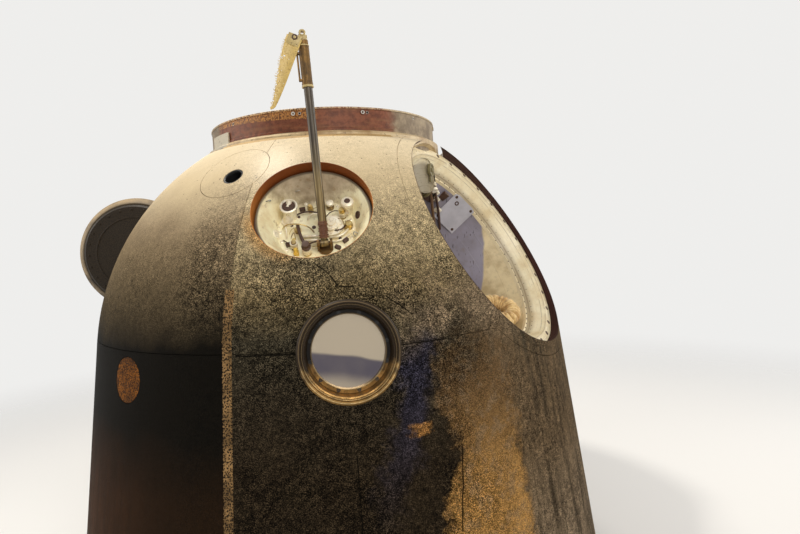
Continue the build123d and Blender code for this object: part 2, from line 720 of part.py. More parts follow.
def make_bay():
    """Parachute container: flange with its holes, tapered throat, neck ring and dished liner."""
    flange_r = BAY_R - GAP
    wall_r = BAY_THROAT_R + BAY_WALL_T
    flange = BAY * turned_points(
        (flange_r, BAY_FLANGE_K - FLANGE_FOOT),
        (flange_r, BAY_FLANGE_K),
        (BAY_THROAT_R, BAY_FLANGE_K),
        (BAY_NECK_R, BAY_NECK_K),
        (BAY_NECK_R + BAY_WALL_T, BAY_NECK_K),
        (wall_r, BAY_FLANGE_K - FLANGE_T),
        (wall_r, BAY_FLANGE_K - FLANGE_FOOT),
    )
    hole_circle_r = (BAY_R + BAY_THROAT_R) / 2
    for i in range(FLANGE_HOLES):
        turn = 2 * math.pi * i / FLANGE_HOLES
        x, y = hole_circle_r * math.cos(turn), hole_circle_r * math.sin(turn)
        flange -= drum(BAY, FLANGE_HOLE_R, BAY_FLANGE_K - FLANGE_HOLE_DEPTH, BAY_FLANGE_K + 1, x, y)
    save("bay_flange", flange - upright(RING_R + GAP))

    neck_out_r = LINER_R + NECK_RING_W
    neck = tube(BAY, neck_out_r, LINER_R, BAY_NECK_K - NECK_RING_H, BAY_NECK_K - GAP)
    save("bay_neck_ring", neck - upright(RING_R + GAP))

    floor_r = CONTAINER_FLOOR_R - FLOOR_CORNER
    liner = BAY * turned_points(
        (LINER_R, LINER_TOP_K),
        (LINER_R + BAY_WALL_T, LINER_TOP_K),
        (CONTAINER_FLOOR_R + BAY_WALL_T, BAY_FLOOR_K),
        (floor_r, BAY_FLOOR_K - FLOOR_DISH),
        (0, BAY_FLOOR_K - FLOOR_DISH),
        (0, CONTAINER_FOOT_K),
        (floor_r - BAY_WALL_T / 2, CONTAINER_FOOT_K),
        (CONTAINER_FLOOR_R, BAY_FLOOR_K + BAY_WALL_T / 2),
    )
    save("bay_container", liner)


def wall_plane(angle, depth):
    """Plane on the container's wall, at an angle round the bay and a depth below its neck.

    Z points inwards, square to the bay's axis, and Y points out of the bay."""
    k = BAY_NECK_K - depth
    r = CONTAINER_FLOOR_R + (k - BAY_FLOOR_K) / (LINER_TOP_K - BAY_FLOOR_K) * (LINER_R - CONTAINER_FLOOR_R)
    turn = math.radians(angle)
    place = BAY.from_local_coords(Vector(r * math.cos(turn), r * math.sin(turn), k))
    inward = BAY.x_dir * -math.cos(turn) + BAY.y_dir * -math.sin(turn)
    return Plane(origin=place, x_dir=BAY.z_dir.cross(inward), z_dir=inward)


def bay_room():
    """The container's inside, a hair smaller than its walls."""
    return BAY * turned_points(
        (0, CONTAINER_FOOT_K + GAP),
        (CONTAINER_FLOOR_R - FLOOR_CORNER - BAY_WALL_T, CONTAINER_FOOT_K + GAP),
        (CONTAINER_FLOOR_R - GAP, BAY_FLOOR_K + BAY_WALL_T / 2),
        (LINER_R - GAP, LINER_TOP_K),
        (LINER_R - GAP, BAY_NECK_K + FLANGE_FOOT),
        (0, BAY_NECK_K + FLANGE_FOOT),
    )


def make_bay_contents():
    """Fittings left in the bay: riser pulley in its bracket, hoses, blank plate and the rolled riser bag."""
    room = bay_room()
    seat = wall_plane(*PULLEY_PLACE)
    pin = seat * Pos(0, 0, PULLEY_UP) * Rot(0, 90, 0)
    bracket = seat * Pos(0, 0, BRACKET_BASE[2] / 4) * Box(*BRACKET_BASE)
    for side in (-1, 1):
        x = side * (SHEAVE_W / 2 + CHEEK_SPACE + CHEEK_T / 2)
        bracket += seat * Pos(x, 0, PULLEY_UP / 2) * Box(CHEEK_T, 2 * CHEEK_R, PULLEY_UP)
        bracket += pin * Pos(0, 0, x) * Cylinder(CHEEK_R, CHEEK_T)
    bracket -= pin * Cylinder(SHEAVE_HUB_R + GAP, 2 * SHEAVE_R + SHEAVE_W)
    save("riser_bracket", bracket & room)
    groove_r = SHEAVE_R - CHEEK_T
    sheave = turned_points(
        (0, -SHEAVE_W / 2),
        (SHEAVE_R, -SHEAVE_W / 2),
        (SHEAVE_R, -SHEAVE_W / 3),
        (groove_r, -CHEEK_SPACE),
        (groove_r, CHEEK_SPACE),
        (SHEAVE_R, SHEAVE_W / 3),
        (SHEAVE_R, SHEAVE_W / 2),
        (0, SHEAVE_W / 2),
    )
    axle = Cylinder(SHEAVE_HUB_R, SHEAVE_W + 2 * CHEEK_T + 4 * CHEEK_SPACE)
    save("riser_pulley", pin * (sheave + axle))

    hoses = []
    start, bend, turn = (BAY_NECK_K - depth for depth in HOSE_DEPTHS)
    for x, inset, radius in HOSES:
        y = LINER_R - inset
        path = FilletPolyline(
            BAY.from_local_coords(Vector(x, LINER_R + HOSE_TOP_PROUD, start)),
            BAY.from_local_coords(Vector(x, y + HOSE_RUN, bend)),
            BAY.from_local_coords(Vector(x - HOSE_LEANS[0], y, turn)),
            BAY.from_local_coords(Vector(x - HOSE_LEANS[1], y - HOSE_FOOT_RUN, BAY_FLOOR_K - FLOOR_DISH)),
            radius=HOSE_BEND_R,
        )
        hoses.append(sweep((path ^ 0) * Circle(radius), path=path))
    save("bay_hoses", joined(hoses) & room)

    wall = wall_plane(*PLATE_PLACE) * Rot(-WALL_LEAN, 0, 0)
    bow = LINER_R - math.sqrt(LINER_R**2 - (PLATE_SIZE[0] / 2) ** 2)
    plate_up = bow + PLATE_SIZE[2] / 2 + PLATE_CLEAR
    plate = wall * Pos(0, 0, plate_up) * Box(*PLATE_SIZE)
    stud_x, stud_y = PLATE_SIZE[0] / 2 - PLATE_STUD_INSET, PLATE_SIZE[1] / 2 - PLATE_STUD_INSET
    for x in (-stud_x, stud_x):
        for y in (-stud_y, stud_y):
            plate += wall * Pos(x, y, 0) * Cylinder(PLATE_STUD_R, 2 * plate_up)
    save("blank_plate", plate & room)

    lean = math.radians(ROLL_LEAN - WALL_LEAN)
    side_turn = 2 * math.pi / ROLL_SIDES
    off_corner = ((math.pi / 2 - lean) / side_turn % 1 - 0.5) * side_turn
    reach = ROLL_R * math.sin(lean) + ROLL_TUBE_R * math.cos(off_corner)
    roll_up = (reach + GAP) / math.cos(math.radians(WALL_LEAN))
    roll = wall_plane(*ROLL_PLACE) * Pos(0, 0, roll_up) * Rot(-ROLL_LEAN, 0, 0)
    save("riser_roll", roll * polygon_ring(ROLL_R, ROLL_TUBE_R, ROLL_SIDES))


def well_floor_k():
    return DOME_R - CUP_DEPTH


def make_well():
    """Antenna well: polished cup let into the dome, and the fittings bolted to its floor."""
    floor_k = well_floor_k()
    lip_k = DOME_R - ABLATOR_T - 1
    cup = WELL * turned_points(
        (CUP_R, lip_k),
        (CUP_R - CUP_T, lip_k),
        (CUP_FLOOR_R, floor_k),
        (0, floor_k),
        (0, floor_k - CUP_T),
        (CUP_FLOOR_R + 2, floor_k - CUP_T),
        (CUP_R, lip_k - CUP_RIM_H),
    )
    cup -= drum(WELL, CUP_DRAIN_R, floor_k - 2 * CUP_T, floor_k + CUP_T, *MAST_FOOT)
    save("antenna_cup", cup)

    seat_k = floor_k + GAP
    turret = drum(WELL, TURRET_R, seat_k, floor_k + TURRET_H, *TURRET_PLACE)
    turret += drum(WELL, TURRET_CAP_R, seat_k, floor_k + TURRET_CAP_H, *TURRET_PLACE)
    save("well_plate", turret)

    foot = WELL.from_local_coords(Vector(*CONNECTOR_FOOT, floor_k))
    lean = WELL.x_dir * CONNECTOR_LEAN[0] + WELL.y_dir * CONNECTOR_LEAN[1] + WELL.z_dir * CONNECTOR_LEAN[2]
    connector = Plane(origin=foot, z_dir=lean) * turned_points(*CONNECTOR_OUTLINE)
    connector += drum(WELL, CONNECTOR_OUTLINE[1][0] + CUP_T, seat_k, floor_k + STUB_CAP_H, *CONNECTOR_FOOT)
    above_floor = drum(WELL, CUP_FLOOR_R + CUP_T, seat_k, DOME_R)
    save("well_connector", connector & above_floor)

    stubs = []
    for x_share, y_share, height, radius, cap_r in STUBS:
        place = on_floor(x_share, y_share)
        body = drum(WELL, radius, seat_k, floor_k + height - STUB_CAP_H, *place)
        stubs.append(body + drum(WELL, cap_r, seat_k, floor_k + height, *place))
    save("well_fittings", joined(stubs))


def mast_plane():
    """Plane on the mast's hinge pin: Z up the mast, X along the pin."""
    pin = WELL.from_local_coords(Vector(*MAST_FOOT, well_floor_k() + MAST_PIN_UP))
    along = Vector(*MAST_REACH).normalized()
    side = Vector(1, 0, 0)
    side = (side - along * side.dot(along)).normalized()
    return Plane(origin=pin, x_dir=side, z_dir=along)


def blade_plane():
    """Plane on the blade's pivot in the mast's head: X along the mast's pin, Z along the pivot."""
    mast = mast_plane()
    length = Vector(*MAST_REACH).length
    pivot = mast.from_local_coords(Vector(BLADE_PIVOT[0], 0, length + BLADE_PIVOT[1]))
    return Plane(origin=pivot, x_dir=mast.x_dir, z_dir=mast.x_dir.cross(mast.z_dir))


def make_mast():
    """Folding antenna mast with its fork in the well, its knuckle, sleeve and head."""
    mast = mast_plane()
    length = Vector(*MAST_REACH).length
    floor_k = well_floor_k()
    pin = Plane(origin=mast.origin, x_dir=mast.z_dir, z_dir=mast.x_dir)
    fork = drum(WELL, FORK_FOOT_R, floor_k + GAP, floor_k + FORK_FOOT_H, *MAST_FOOT)
    fork += pin * Cylinder(FORK_PIN_R, 2 * FORK_SPACE + FORK_EAR_T)
    for x in (-FORK_SPACE, FORK_SPACE):
        leg_k = floor_k + FORK_FOOT_H / 2 + MAST_PIN_UP / 2
        leg = WELL * Pos(MAST_FOOT[0] + x, MAST_FOOT[1], leg_k)
        fork += leg * Box(FORK_EAR_T, FORK_LEG_W, MAST_PIN_UP)
        fork += pin * Pos(0, 0, x) * Cylinder(FORK_EAR_R, FORK_EAR_T)
    save("mast_fork", fork & drum(WELL, WELL_R, floor_k + GAP, DOME_R))

    knuckle = pin * (Cylinder(KNUCKLE_R, KNUCKLE_W) - Cylinder(FORK_PIN_R + PIN_PLAY, KNUCKLE_W + 2))
    tube_top = length * (1 - SLEEVE_SHARE)
    save("mast_tube", knuckle + drum(mast, MAST_R, KNUCKLE_R - 1, tube_top))

    start = tube_top + GAP
    sleeve_len = length - start
    sleeve = drum(mast, SLEEVE_R, start, length + BLADE_PIVOT[1] - HEAD_SIZE[2] / 2 - GAP)
    rod_x = -SLEEVE_R - 3 * SLEEVE_ROD_R
    sleeve += mast * Pos(rod_x, 0, start + sleeve_len * 0.42) * Cylinder(SLEEVE_ROD_R, sleeve_len * 0.62)
    for share in SLEEVE_CLIP_SHARES:
        clip = mast * Pos(rod_x / 2, 0, start + sleeve_len * share)
        sleeve += clip * Box(-rod_x + 2 * SLEEVE_ROD_R, SLEEVE_R, 2 * SLEEVE_ROD_R)
    save("mast_sleeve", sleeve)

    across = Rot(90, 0, 0)
    head_z = length + BLADE_PIVOT[1]
    eye = mast * Pos(0, 0, head_z + HEAD_SIZE[2]) * across
    head = mast * Pos(BLADE_PIVOT[0] / 3, 0, head_z) * Box(*HEAD_SIZE)
    head += eye * Cylinder(EYE_R, HEAD_SIZE[1])
    head -= eye * Cylinder(EYE_HOLE_R, 2 * HEAD_SIZE[1])
    pivot = mast * Pos(BLADE_PIVOT[0], 0, head_z) * across
    head += pivot * Cylinder(EYE_R, HEAD_SIZE[1])
    head += pivot * Cylinder(BLADE_PIN_R, BLADE_PIN_W)
    save("mast_head", head)


def make_blade():
    """Curved tape blade of the antenna, swinging on the mast's head and narrowing to its curled tip."""
    plane = blade_plane()
    left, right = [], []
    x = y = 0.0
    step = BLADE_LEN / BLADE_STEPS
    for i in range(BLADE_STEPS + 1):
        share = i / BLADE_STEPS
        heading = math.radians(BLADE_START_HEADING + BLADE_CURL * share)
        half_w = BLADE_W / 2 * (1 - (1 - BLADE_TIP_SHARE) * share**1.5)
        left.append((x - half_w * math.sin(heading), y + half_w * math.cos(heading)))
        right.append((x + half_w * math.sin(heading), y - half_w * math.cos(heading)))
        x += step * math.cos(heading)
        y += step * math.sin(heading)
    face = make_face(Polyline(*left, *reversed(right), close=True))
    blade = extrude(plane.offset(BLADE_OFF) * face, BLADE_T)
    blade += plane * Pos(0, 0, BLADE_OFF) * Cylinder(BLADE_HUB_R, BLADE_HUB_T)
    blade -= plane * Cylinder(BLADE_PIN_R + PIN_PLAY, 2 * BLADE_PIN_W)
    save("antenna_blade", blade)


def make_windows():
    """Two round windows, each with a stepped bezel, a retainer ring and a pane."""
    face_k = DOME_R + BEZEL_PROUD
    pane_k = DOME_R - PANE_DEPTH
    retainer_k = DOME_R - RETAINER_DEPTH
    seat_r = PANE_R + RETAINER_W
    steps = [(BEZEL_R - inset, face_k - drop) for inset, drop in BEZEL_STEPS]
    foot_k = DOME_R - ABLATOR_T
    bezel = turned_points(
        (BEZEL_R, foot_k),
        *steps,
        (seat_r, retainer_k),
        (seat_r, pane_k),
        (PANE_R - PANE_LAP, pane_k),
        (PANE_R - PANE_LAP, pane_k - BEZEL_SHELF_T),
        (BEZEL_INNER_R, pane_k - BEZEL_SHELF_T),
        (BEZEL_INNER_R, foot_k),
    )
    planes = [aim(*place) for place in WINDOW_AIMS]
    save("window_bezels", joined([plane * bezel for plane in planes]))
    pane_top = pane_k + PANE_T
    save("window_panes", joined([drum(plane, seat_r - GAP, pane_k + GAP, pane_top) for plane in planes]))
    rings = [tube(plane, seat_r - GAP, PANE_R, pane_top + GAP, retainer_k + BEZEL_PROUD) for plane in planes]
    save("window_retainers", joined(rings))


def make_periscope():
    """Drum-shaped periscope fairing standing out of the left flank, with its face plate and glass."""
    centre = aim(*SCOPE_AIM).from_local_coords(Vector(0, 0, DOME_R - SCOPE_SINK))
    front = Plane(origin=centre - Vector(0, SCOPE_HALF_W, 0), x_dir=(1, 0, 0), z_dir=(0, -1, 0))
    body = front * Pos(0, 0, -SCOPE_HALF_W) * Cylinder(SCOPE_R, 2 * SCOPE_HALF_W)
    body = chamfer(body.edges().filter_by(GeomType.CIRCLE), SCOPE_CHAMFER)
    glass_t, glass_w, glass_h = SCOPE_GLASS_SIZE
    glass_face = centre - Vector(SCOPE_R - SCOPE_GLASS_SINK, 0, 0)
    slot = Pos(*(glass_face - Vector(SCOPE_GLASS_SINK, 0, 0))) * Box(2 * SCOPE_GLASS_SINK, glass_w, glass_h)
    save("periscope_housing", body - outside_dome - slot)
    face = front * Pos(0, 0, GAP + SCOPE_FACE_T / 2) * Cylinder(SCOPE_R - SCOPE_RIM_W, SCOPE_FACE_T)
    face = chamfer(face.edges().filter_by(GeomType.CIRCLE).sort_by(Axis.Y)[:1], SCOPE_FACE_CHAMFER)
    save("periscope_face", face - outside_dome)
    pane = Pos(*(glass_face - Vector(glass_t / 2 + GAP, 0, 0)))
    save("periscope_glass", pane * Box(glass_t, glass_w - 2 * GAP, glass_h - 2 * GAP))


def make_reserve_lid():
    """Closed reserve parachute lid in its frame at the back, with lugs round it."""
    plane = aim(*RESERVE_AIM)
    whole = skin(0, ABLATOR_T, SEAM_Z, DOME_MOUTH_R)
    proud = skin(-LID_LUG_PROUD, ABLATOR_T, SEAM_Z, DOME_MOUTH_R)
    frame = whole & (through(plane, LID_R + LID_FRAME_W) - through(plane, LID_R + GAP))
    for i in range(LID_LUGS):
        turn = 2 * math.pi * i / LID_LUGS
        r = LID_R + LID_FRAME_W / 2
        lug = drum(plane, LID_LUG_R / 2, 0, DOME_R + CUT_OUT, r * math.cos(turn), r * math.sin(turn))
        frame += proud & lug
    save("reserve_frame", frame)
    save("reserve_lid", skin(0, HULL_IN, SEAM_Z, DOME_MOUTH_R) & through(plane, LID_R))


def make_ports():
    """Small round port with its lens and ablator plug, the two vent plugs and the drain plug."""
    whole = skin(0, ABLATOR_T, SEAM_Z, DOME_MOUTH_R)
    port = aim(*PORT_AIM)
    barrel_r = PORT_R + PORT_WALL
    plug = whole & through(aim(*PORT_PLUG_AIM), PORT_PLUG_R)
    save("port_plug", plug - through(port, barrel_r + GAP))
    floor_k = DOME_R - PORT_DEPTH
    barrel = tube(port, barrel_r, PORT_R, floor_k - PORT_FLOOR_T, DOME_R - 2)
    barrel += drum(port, barrel_r, floor_k - PORT_FLOOR_T, floor_k)
    barrel += drum(port, PORT_LENS_R, floor_k - 1, floor_k + PORT_LENS_H)
    save("side_port", barrel)
    core = skin(0, PLUG_DEPTH - GAP, FRAME_H, DOME_MOUTH_R)
    save("vent_plugs", joined([core & through(aim(*place), VENT_R) for place in VENT_AIMS]))
    save("drain_plug", core & through(aim(*DRAIN_AIM), DRAIN_R))


def make_cabin():
    """Three moulded couches on rails on the lower bulkhead, and the instrument console."""
    floor_z = FRAME_H + BULKHEAD_RISE + BULKHEAD_T + GAP
    dish_r = BASE_R - FRAME_W - DISH_MARGIN
    below = turned_points(
        (0, 0),
        (dish_r, 0),
        (dish_r, floor_z),
        (dish_r - DISH_SLOPE_W, floor_z - DISH_DROP),
        (0, floor_z - DISH_DROP),
    )
    outline = make_face(Polyline(*COUCH_OUTLINE, close=True))
    couch = Plane.YZ * extrude(outline, COUCH_W / 2, both=True)
    for y in COUCH_RAIL_PLACES:
        couch += Pos(0, y, COUCH_RAIL_TOP / 2) * Box(COUCH_RAIL_W, COUCH_RAIL_T, COUCH_RAIL_TOP)
    couches = [Pos(x, 0, 0) * couch - below for x in (-COUCH_PITCH, 0, COUCH_PITCH)]
    save("couches", joined(couches))
    console_x, console_z = CONSOLE_OFF_HULL + HULL_IN - DOME_R, DOME_Z + CONSOLE_RISE
    console = Pos(console_x, 0, console_z) * Rot(0, CONSOLE_LEAN, 0) * Box(*CONSOLE_SIZE)
    for y in (-0.4 * CONSOLE_SIZE[1], 0.4 * CONSOLE_SIZE[1]):
        console += Pos(console_x - CONSOLE_ARM[0] / 2, y, console_z) * Box(*CONSOLE_ARM)
    save("console", console & inside_hull)


make_base()
make_hull()
make_ablator()
make_ring()
make_step_and_band()
make_hatch()
make_bay()
make_bay_contents()
make_well()
make_mast()
make_blade()
make_windows()
make_periscope()
make_reserve_lid()
make_ports()
make_cabin()
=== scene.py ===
import math

import bmesh
import bpy
from mathutils import Matrix, Vector, noise


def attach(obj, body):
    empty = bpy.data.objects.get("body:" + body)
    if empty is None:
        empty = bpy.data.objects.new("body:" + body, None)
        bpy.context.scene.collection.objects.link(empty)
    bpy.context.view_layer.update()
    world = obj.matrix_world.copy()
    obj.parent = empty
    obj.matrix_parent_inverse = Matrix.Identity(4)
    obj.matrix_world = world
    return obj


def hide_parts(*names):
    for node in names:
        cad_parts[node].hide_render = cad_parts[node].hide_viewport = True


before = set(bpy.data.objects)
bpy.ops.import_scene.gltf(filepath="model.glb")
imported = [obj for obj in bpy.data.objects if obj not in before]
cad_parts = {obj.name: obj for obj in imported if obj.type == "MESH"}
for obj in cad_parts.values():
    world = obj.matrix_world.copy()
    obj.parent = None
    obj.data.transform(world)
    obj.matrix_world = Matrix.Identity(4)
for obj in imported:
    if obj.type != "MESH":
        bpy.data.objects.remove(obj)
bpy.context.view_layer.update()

# Sizes in metres, angles in degrees. Azimuth is measured from the front, -Y, towards +X.
# K is a distance from the dome's centre along the axis of a window, the bay, the well or a port.
DOME_R = 0.98
DOME_Z = 0.9174
CONE_BASE_R = 1.10
CONE_ANGLE = 7.0
FRAME_TOP_Z = 0.0703
RING_R = 0.49
RING_SIDE_R = 0.4875
RING_TOP_Z = 1.857
BOSS_Z = 1.8375
HATCH_TOP_Z = 1.8057
BAY_R = 0.465
BAY_SHIFT = 0.030
BAY_FLANGE_K = 0.822
BAY_FLANGE_HOLES_R = 0.4475
BAY_NECK_R = 0.398
BAY_NECK_K = 0.752
LINER_R = 0.389
LINER_TOP_K = 0.7378
BAY_FLOOR_K = 0.565
BAY_FLOOR_R = 0.330
WALL_LEAN = 18.86
LINER_EDGE = 0.683
WELL_R = 0.192
WELL_FLOOR_K = 0.838
WELL_FLOOR_R = 0.130
CUP_RIM_R = 0.182
CUP_RIM_K = 0.924
RETAINER_R = 0.1163
RETAINER_K = 0.942
WIRE_GROOVE_R = 0.1370
WIRE_GROOVE_K = 0.9804
BEZEL_BOLTS_R = 0.1285
BEZEL_BOLTS_K = 0.9716
FILLER_AZ = -19.5
FILLER_W = 0.030
FILLER_TOP_Z = 1.235
SEAM_2_AZ = 1.75
SEAM_2_TOP_Z = 0.7485
LEVEL_SEAM_Z = 1.0455
LEVEL_SEAM_ENDS = (-18.5, 20.0)
LID_FRAME_R = 0.313
SKIRT_R = 0.4868
SKIRT_LOW_Z = 1.7480
SKIRT_TOP_Z = 1.7520
SKIRT_SPAN = 76.0
SKIRT_BOLT_Z = 1.7380
SCOPE_PLACE = (-0.815, -0.1413, 1.364)
SCOPE_BACK_Y = 0.125
MAST_FOOT = (0.030, -0.078)
MAST_PIN_UP = 0.034
MAST_REACH = (-0.026, -0.005, 0.644)
TAPE_FOOT = 0.060
SLEEVE_FOOT = 0.4963
BLADE_LENGTH = 0.238
BLADE_STEPS = 110
BLADE_FACE = 0.0162
BASE_BOLTS_Z = 0.036
ENGINES_R = 0.690
ENGINE_RIM_Z = 0.036
CONSOLE_PLACE = (-0.700, 0.0, 0.980)
CONSOLE_TILT = -20.0

WINDOW_AIMS = ((1.7, 7.2), (181.7, 7.2))
WELL_AIM = (-4.1, 35.3)
BAY_AIM = (53.6, 29.8)
PLATE_SPOT = (40.0, 0.067)  # angle round the bay and depth on its container's wall, as the next two
PULLEY_SPOT = (84.0, 0.040)
ROLL_SPOT = (-62.0, 0.080)
PULLEY_BOSS = (60.5, 1.6400)  # azimuth and height
PORT_AIM = (-26.8, 44.2)
RESERVE_AIM = (220.0, 30.0)
BOSS_AZIMUTHS = (-13.1, 17.1, 77.0, 137.0, 197.0, 257.0)
SIDE_HOLE_AZIMUTHS = (-45.5, -10.4, 19.4, 46.6, 106.0, 166.0, 226.0, 286.0)
PANE_REFLECTED_HORIZON_Z = (1.040, 1.052)
DEGREE_LENGTH = 0.0176  # of one degree of azimuth on the flank

# Tears in the char: start and end as (azimuth, height), and width
TEARS = (
    ((-3.6, 1.300), (-1.0, 1.262), 0.0022), ((-1.0, 1.262), (0.6, 1.228), 0.0030),
    ((0.6, 1.228), (3.2, 1.224), 0.0040), ((-7.5, 1.215), (-4.8, 1.190), 0.0022),
    ((9.0, 1.190), (13.5, 1.130), 0.0026), ((20.4, 0.725), (18.2, 0.480), 0.0034),
)

CAMERA_SPOT = (0.0, -2.546, 1.349)
CAMERA_TURN = (6.85, -2.7, -3.46)  # yaw, pitch and roll
CAMERA_LENS = 24.75


def aim(azimuth, elevation, shift=0.0):
    """Frame at the dome's centre: X to the right, Y up along the dome, Z straight out of it."""
    a, e = math.radians(azimuth), math.radians(elevation)
    out = Vector((math.cos(e) * math.sin(a), -math.cos(e) * math.cos(a), math.sin(e)))
    right = Vector((math.cos(a), math.sin(a), 0))
    centre = Vector((0, 0, DOME_Z)) + right * shift
    turn = Matrix((right, out.cross(right), out)).transposed()
    return Matrix.Translation(centre) @ turn.to_4x4()


def around(azimuth, radius, height):
    """Frame on an upright cylinder round the capsule's axis, Z pointing out of it."""
    a = math.radians(azimuth)
    out = Vector((math.sin(a), -math.cos(a), 0))
    right = Vector((math.cos(a), math.sin(a), 0))
    turn = Matrix((right, Vector((0, 0, 1)), out)).transposed()
    return Matrix.Translation(out * radius + Vector((0, 0, height))) @ turn.to_4x4()


def facing(point, out, above=Vector((0, 0, 1))):
    """Frame at a point with Z along out."""
    z = Vector(out).normalized()
    x = above.cross(z).normalized()
    turn = Matrix((x, z.cross(x), z)).transposed()
    return Matrix.Translation(point) @ turn.to_4x4()


def shifted(place, x, y, z=0.0):
    return place @ Matrix.Translation((x, y, z))


def turned(place, degrees, axis):
    return place @ Matrix.Rotation(math.radians(degrees), 4, axis)


DOME_CENTRE = Vector((0, 0, DOME_Z))
BAY = aim(*BAY_AIM, shift=BAY_SHIFT)
WELL = aim(*WELL_AIM)
WELL_FLOOR = shifted(WELL, 0, 0, WELL_FLOOR_K)
UPRIGHT = Matrix.Identity(4)


def liner_place(depth):
    """Distance along the bay's axis, and radius, of the container's wall at a depth below the neck."""
    k = BAY_NECK_K - depth
    return k, BAY_FLOOR_R + (k - BAY_FLOOR_K) / (LINER_TOP_K - BAY_FLOOR_K) * (LINER_R - BAY_FLOOR_R)


def wall_frame(angle, depth):
    """Frame on the bay container's wall: Z inwards, Y out of the bay."""
    k, r = liner_place(depth)
    turn = math.radians(angle)
    place = BAY @ Vector((r * math.cos(turn), r * math.sin(turn), k))
    inward = BAY.to_3x3() @ Vector((-math.cos(turn), -math.sin(turn), 0))
    return facing(place, inward, BAY.col[2].to_3d())


def mast_frame():
    """Frame on the mast's hinge pin: Z up the mast, X along the pin."""
    along = Vector(MAST_REACH).normalized()
    side = Vector((1, 0, 0))
    side = (side - along * side.dot(along)).normalized()
    turn = Matrix((side, along.cross(side), along)).transposed()
    return Matrix.Translation(WELL @ Vector((*MAST_FOOT, WELL_FLOOR_K + MAST_PIN_UP))) @ turn.to_4x4()


def blade_frame():
    """Frame on the blade's pivot in the mast's head: Y up the mast, Z towards the front."""
    mast = mast_frame()
    pivot = mast @ Vector((-0.024, 0, Vector(MAST_REACH).length + 0.002))
    x, y = mast.col[0].to_3d(), mast.col[2].to_3d()
    turn = Matrix((x, y, x.cross(y))).transposed()
    return Matrix.Translation(pivot) @ turn.to_4x4()


# Materials

class Value:
    """A number that a node gives out; sums and products of values are math nodes."""

    def __init__(self, finish, socket):
        self.finish, self.socket = finish, socket

    def __add__(self, other):
        return self.finish.math("ADD", self, other)

    def __sub__(self, other):
        return self.finish.math("SUBTRACT", self, other)

    def __mul__(self, other):
        return self.finish.math("MULTIPLY", self, other)

    __radd__, __rmul__ = __add__, __mul__


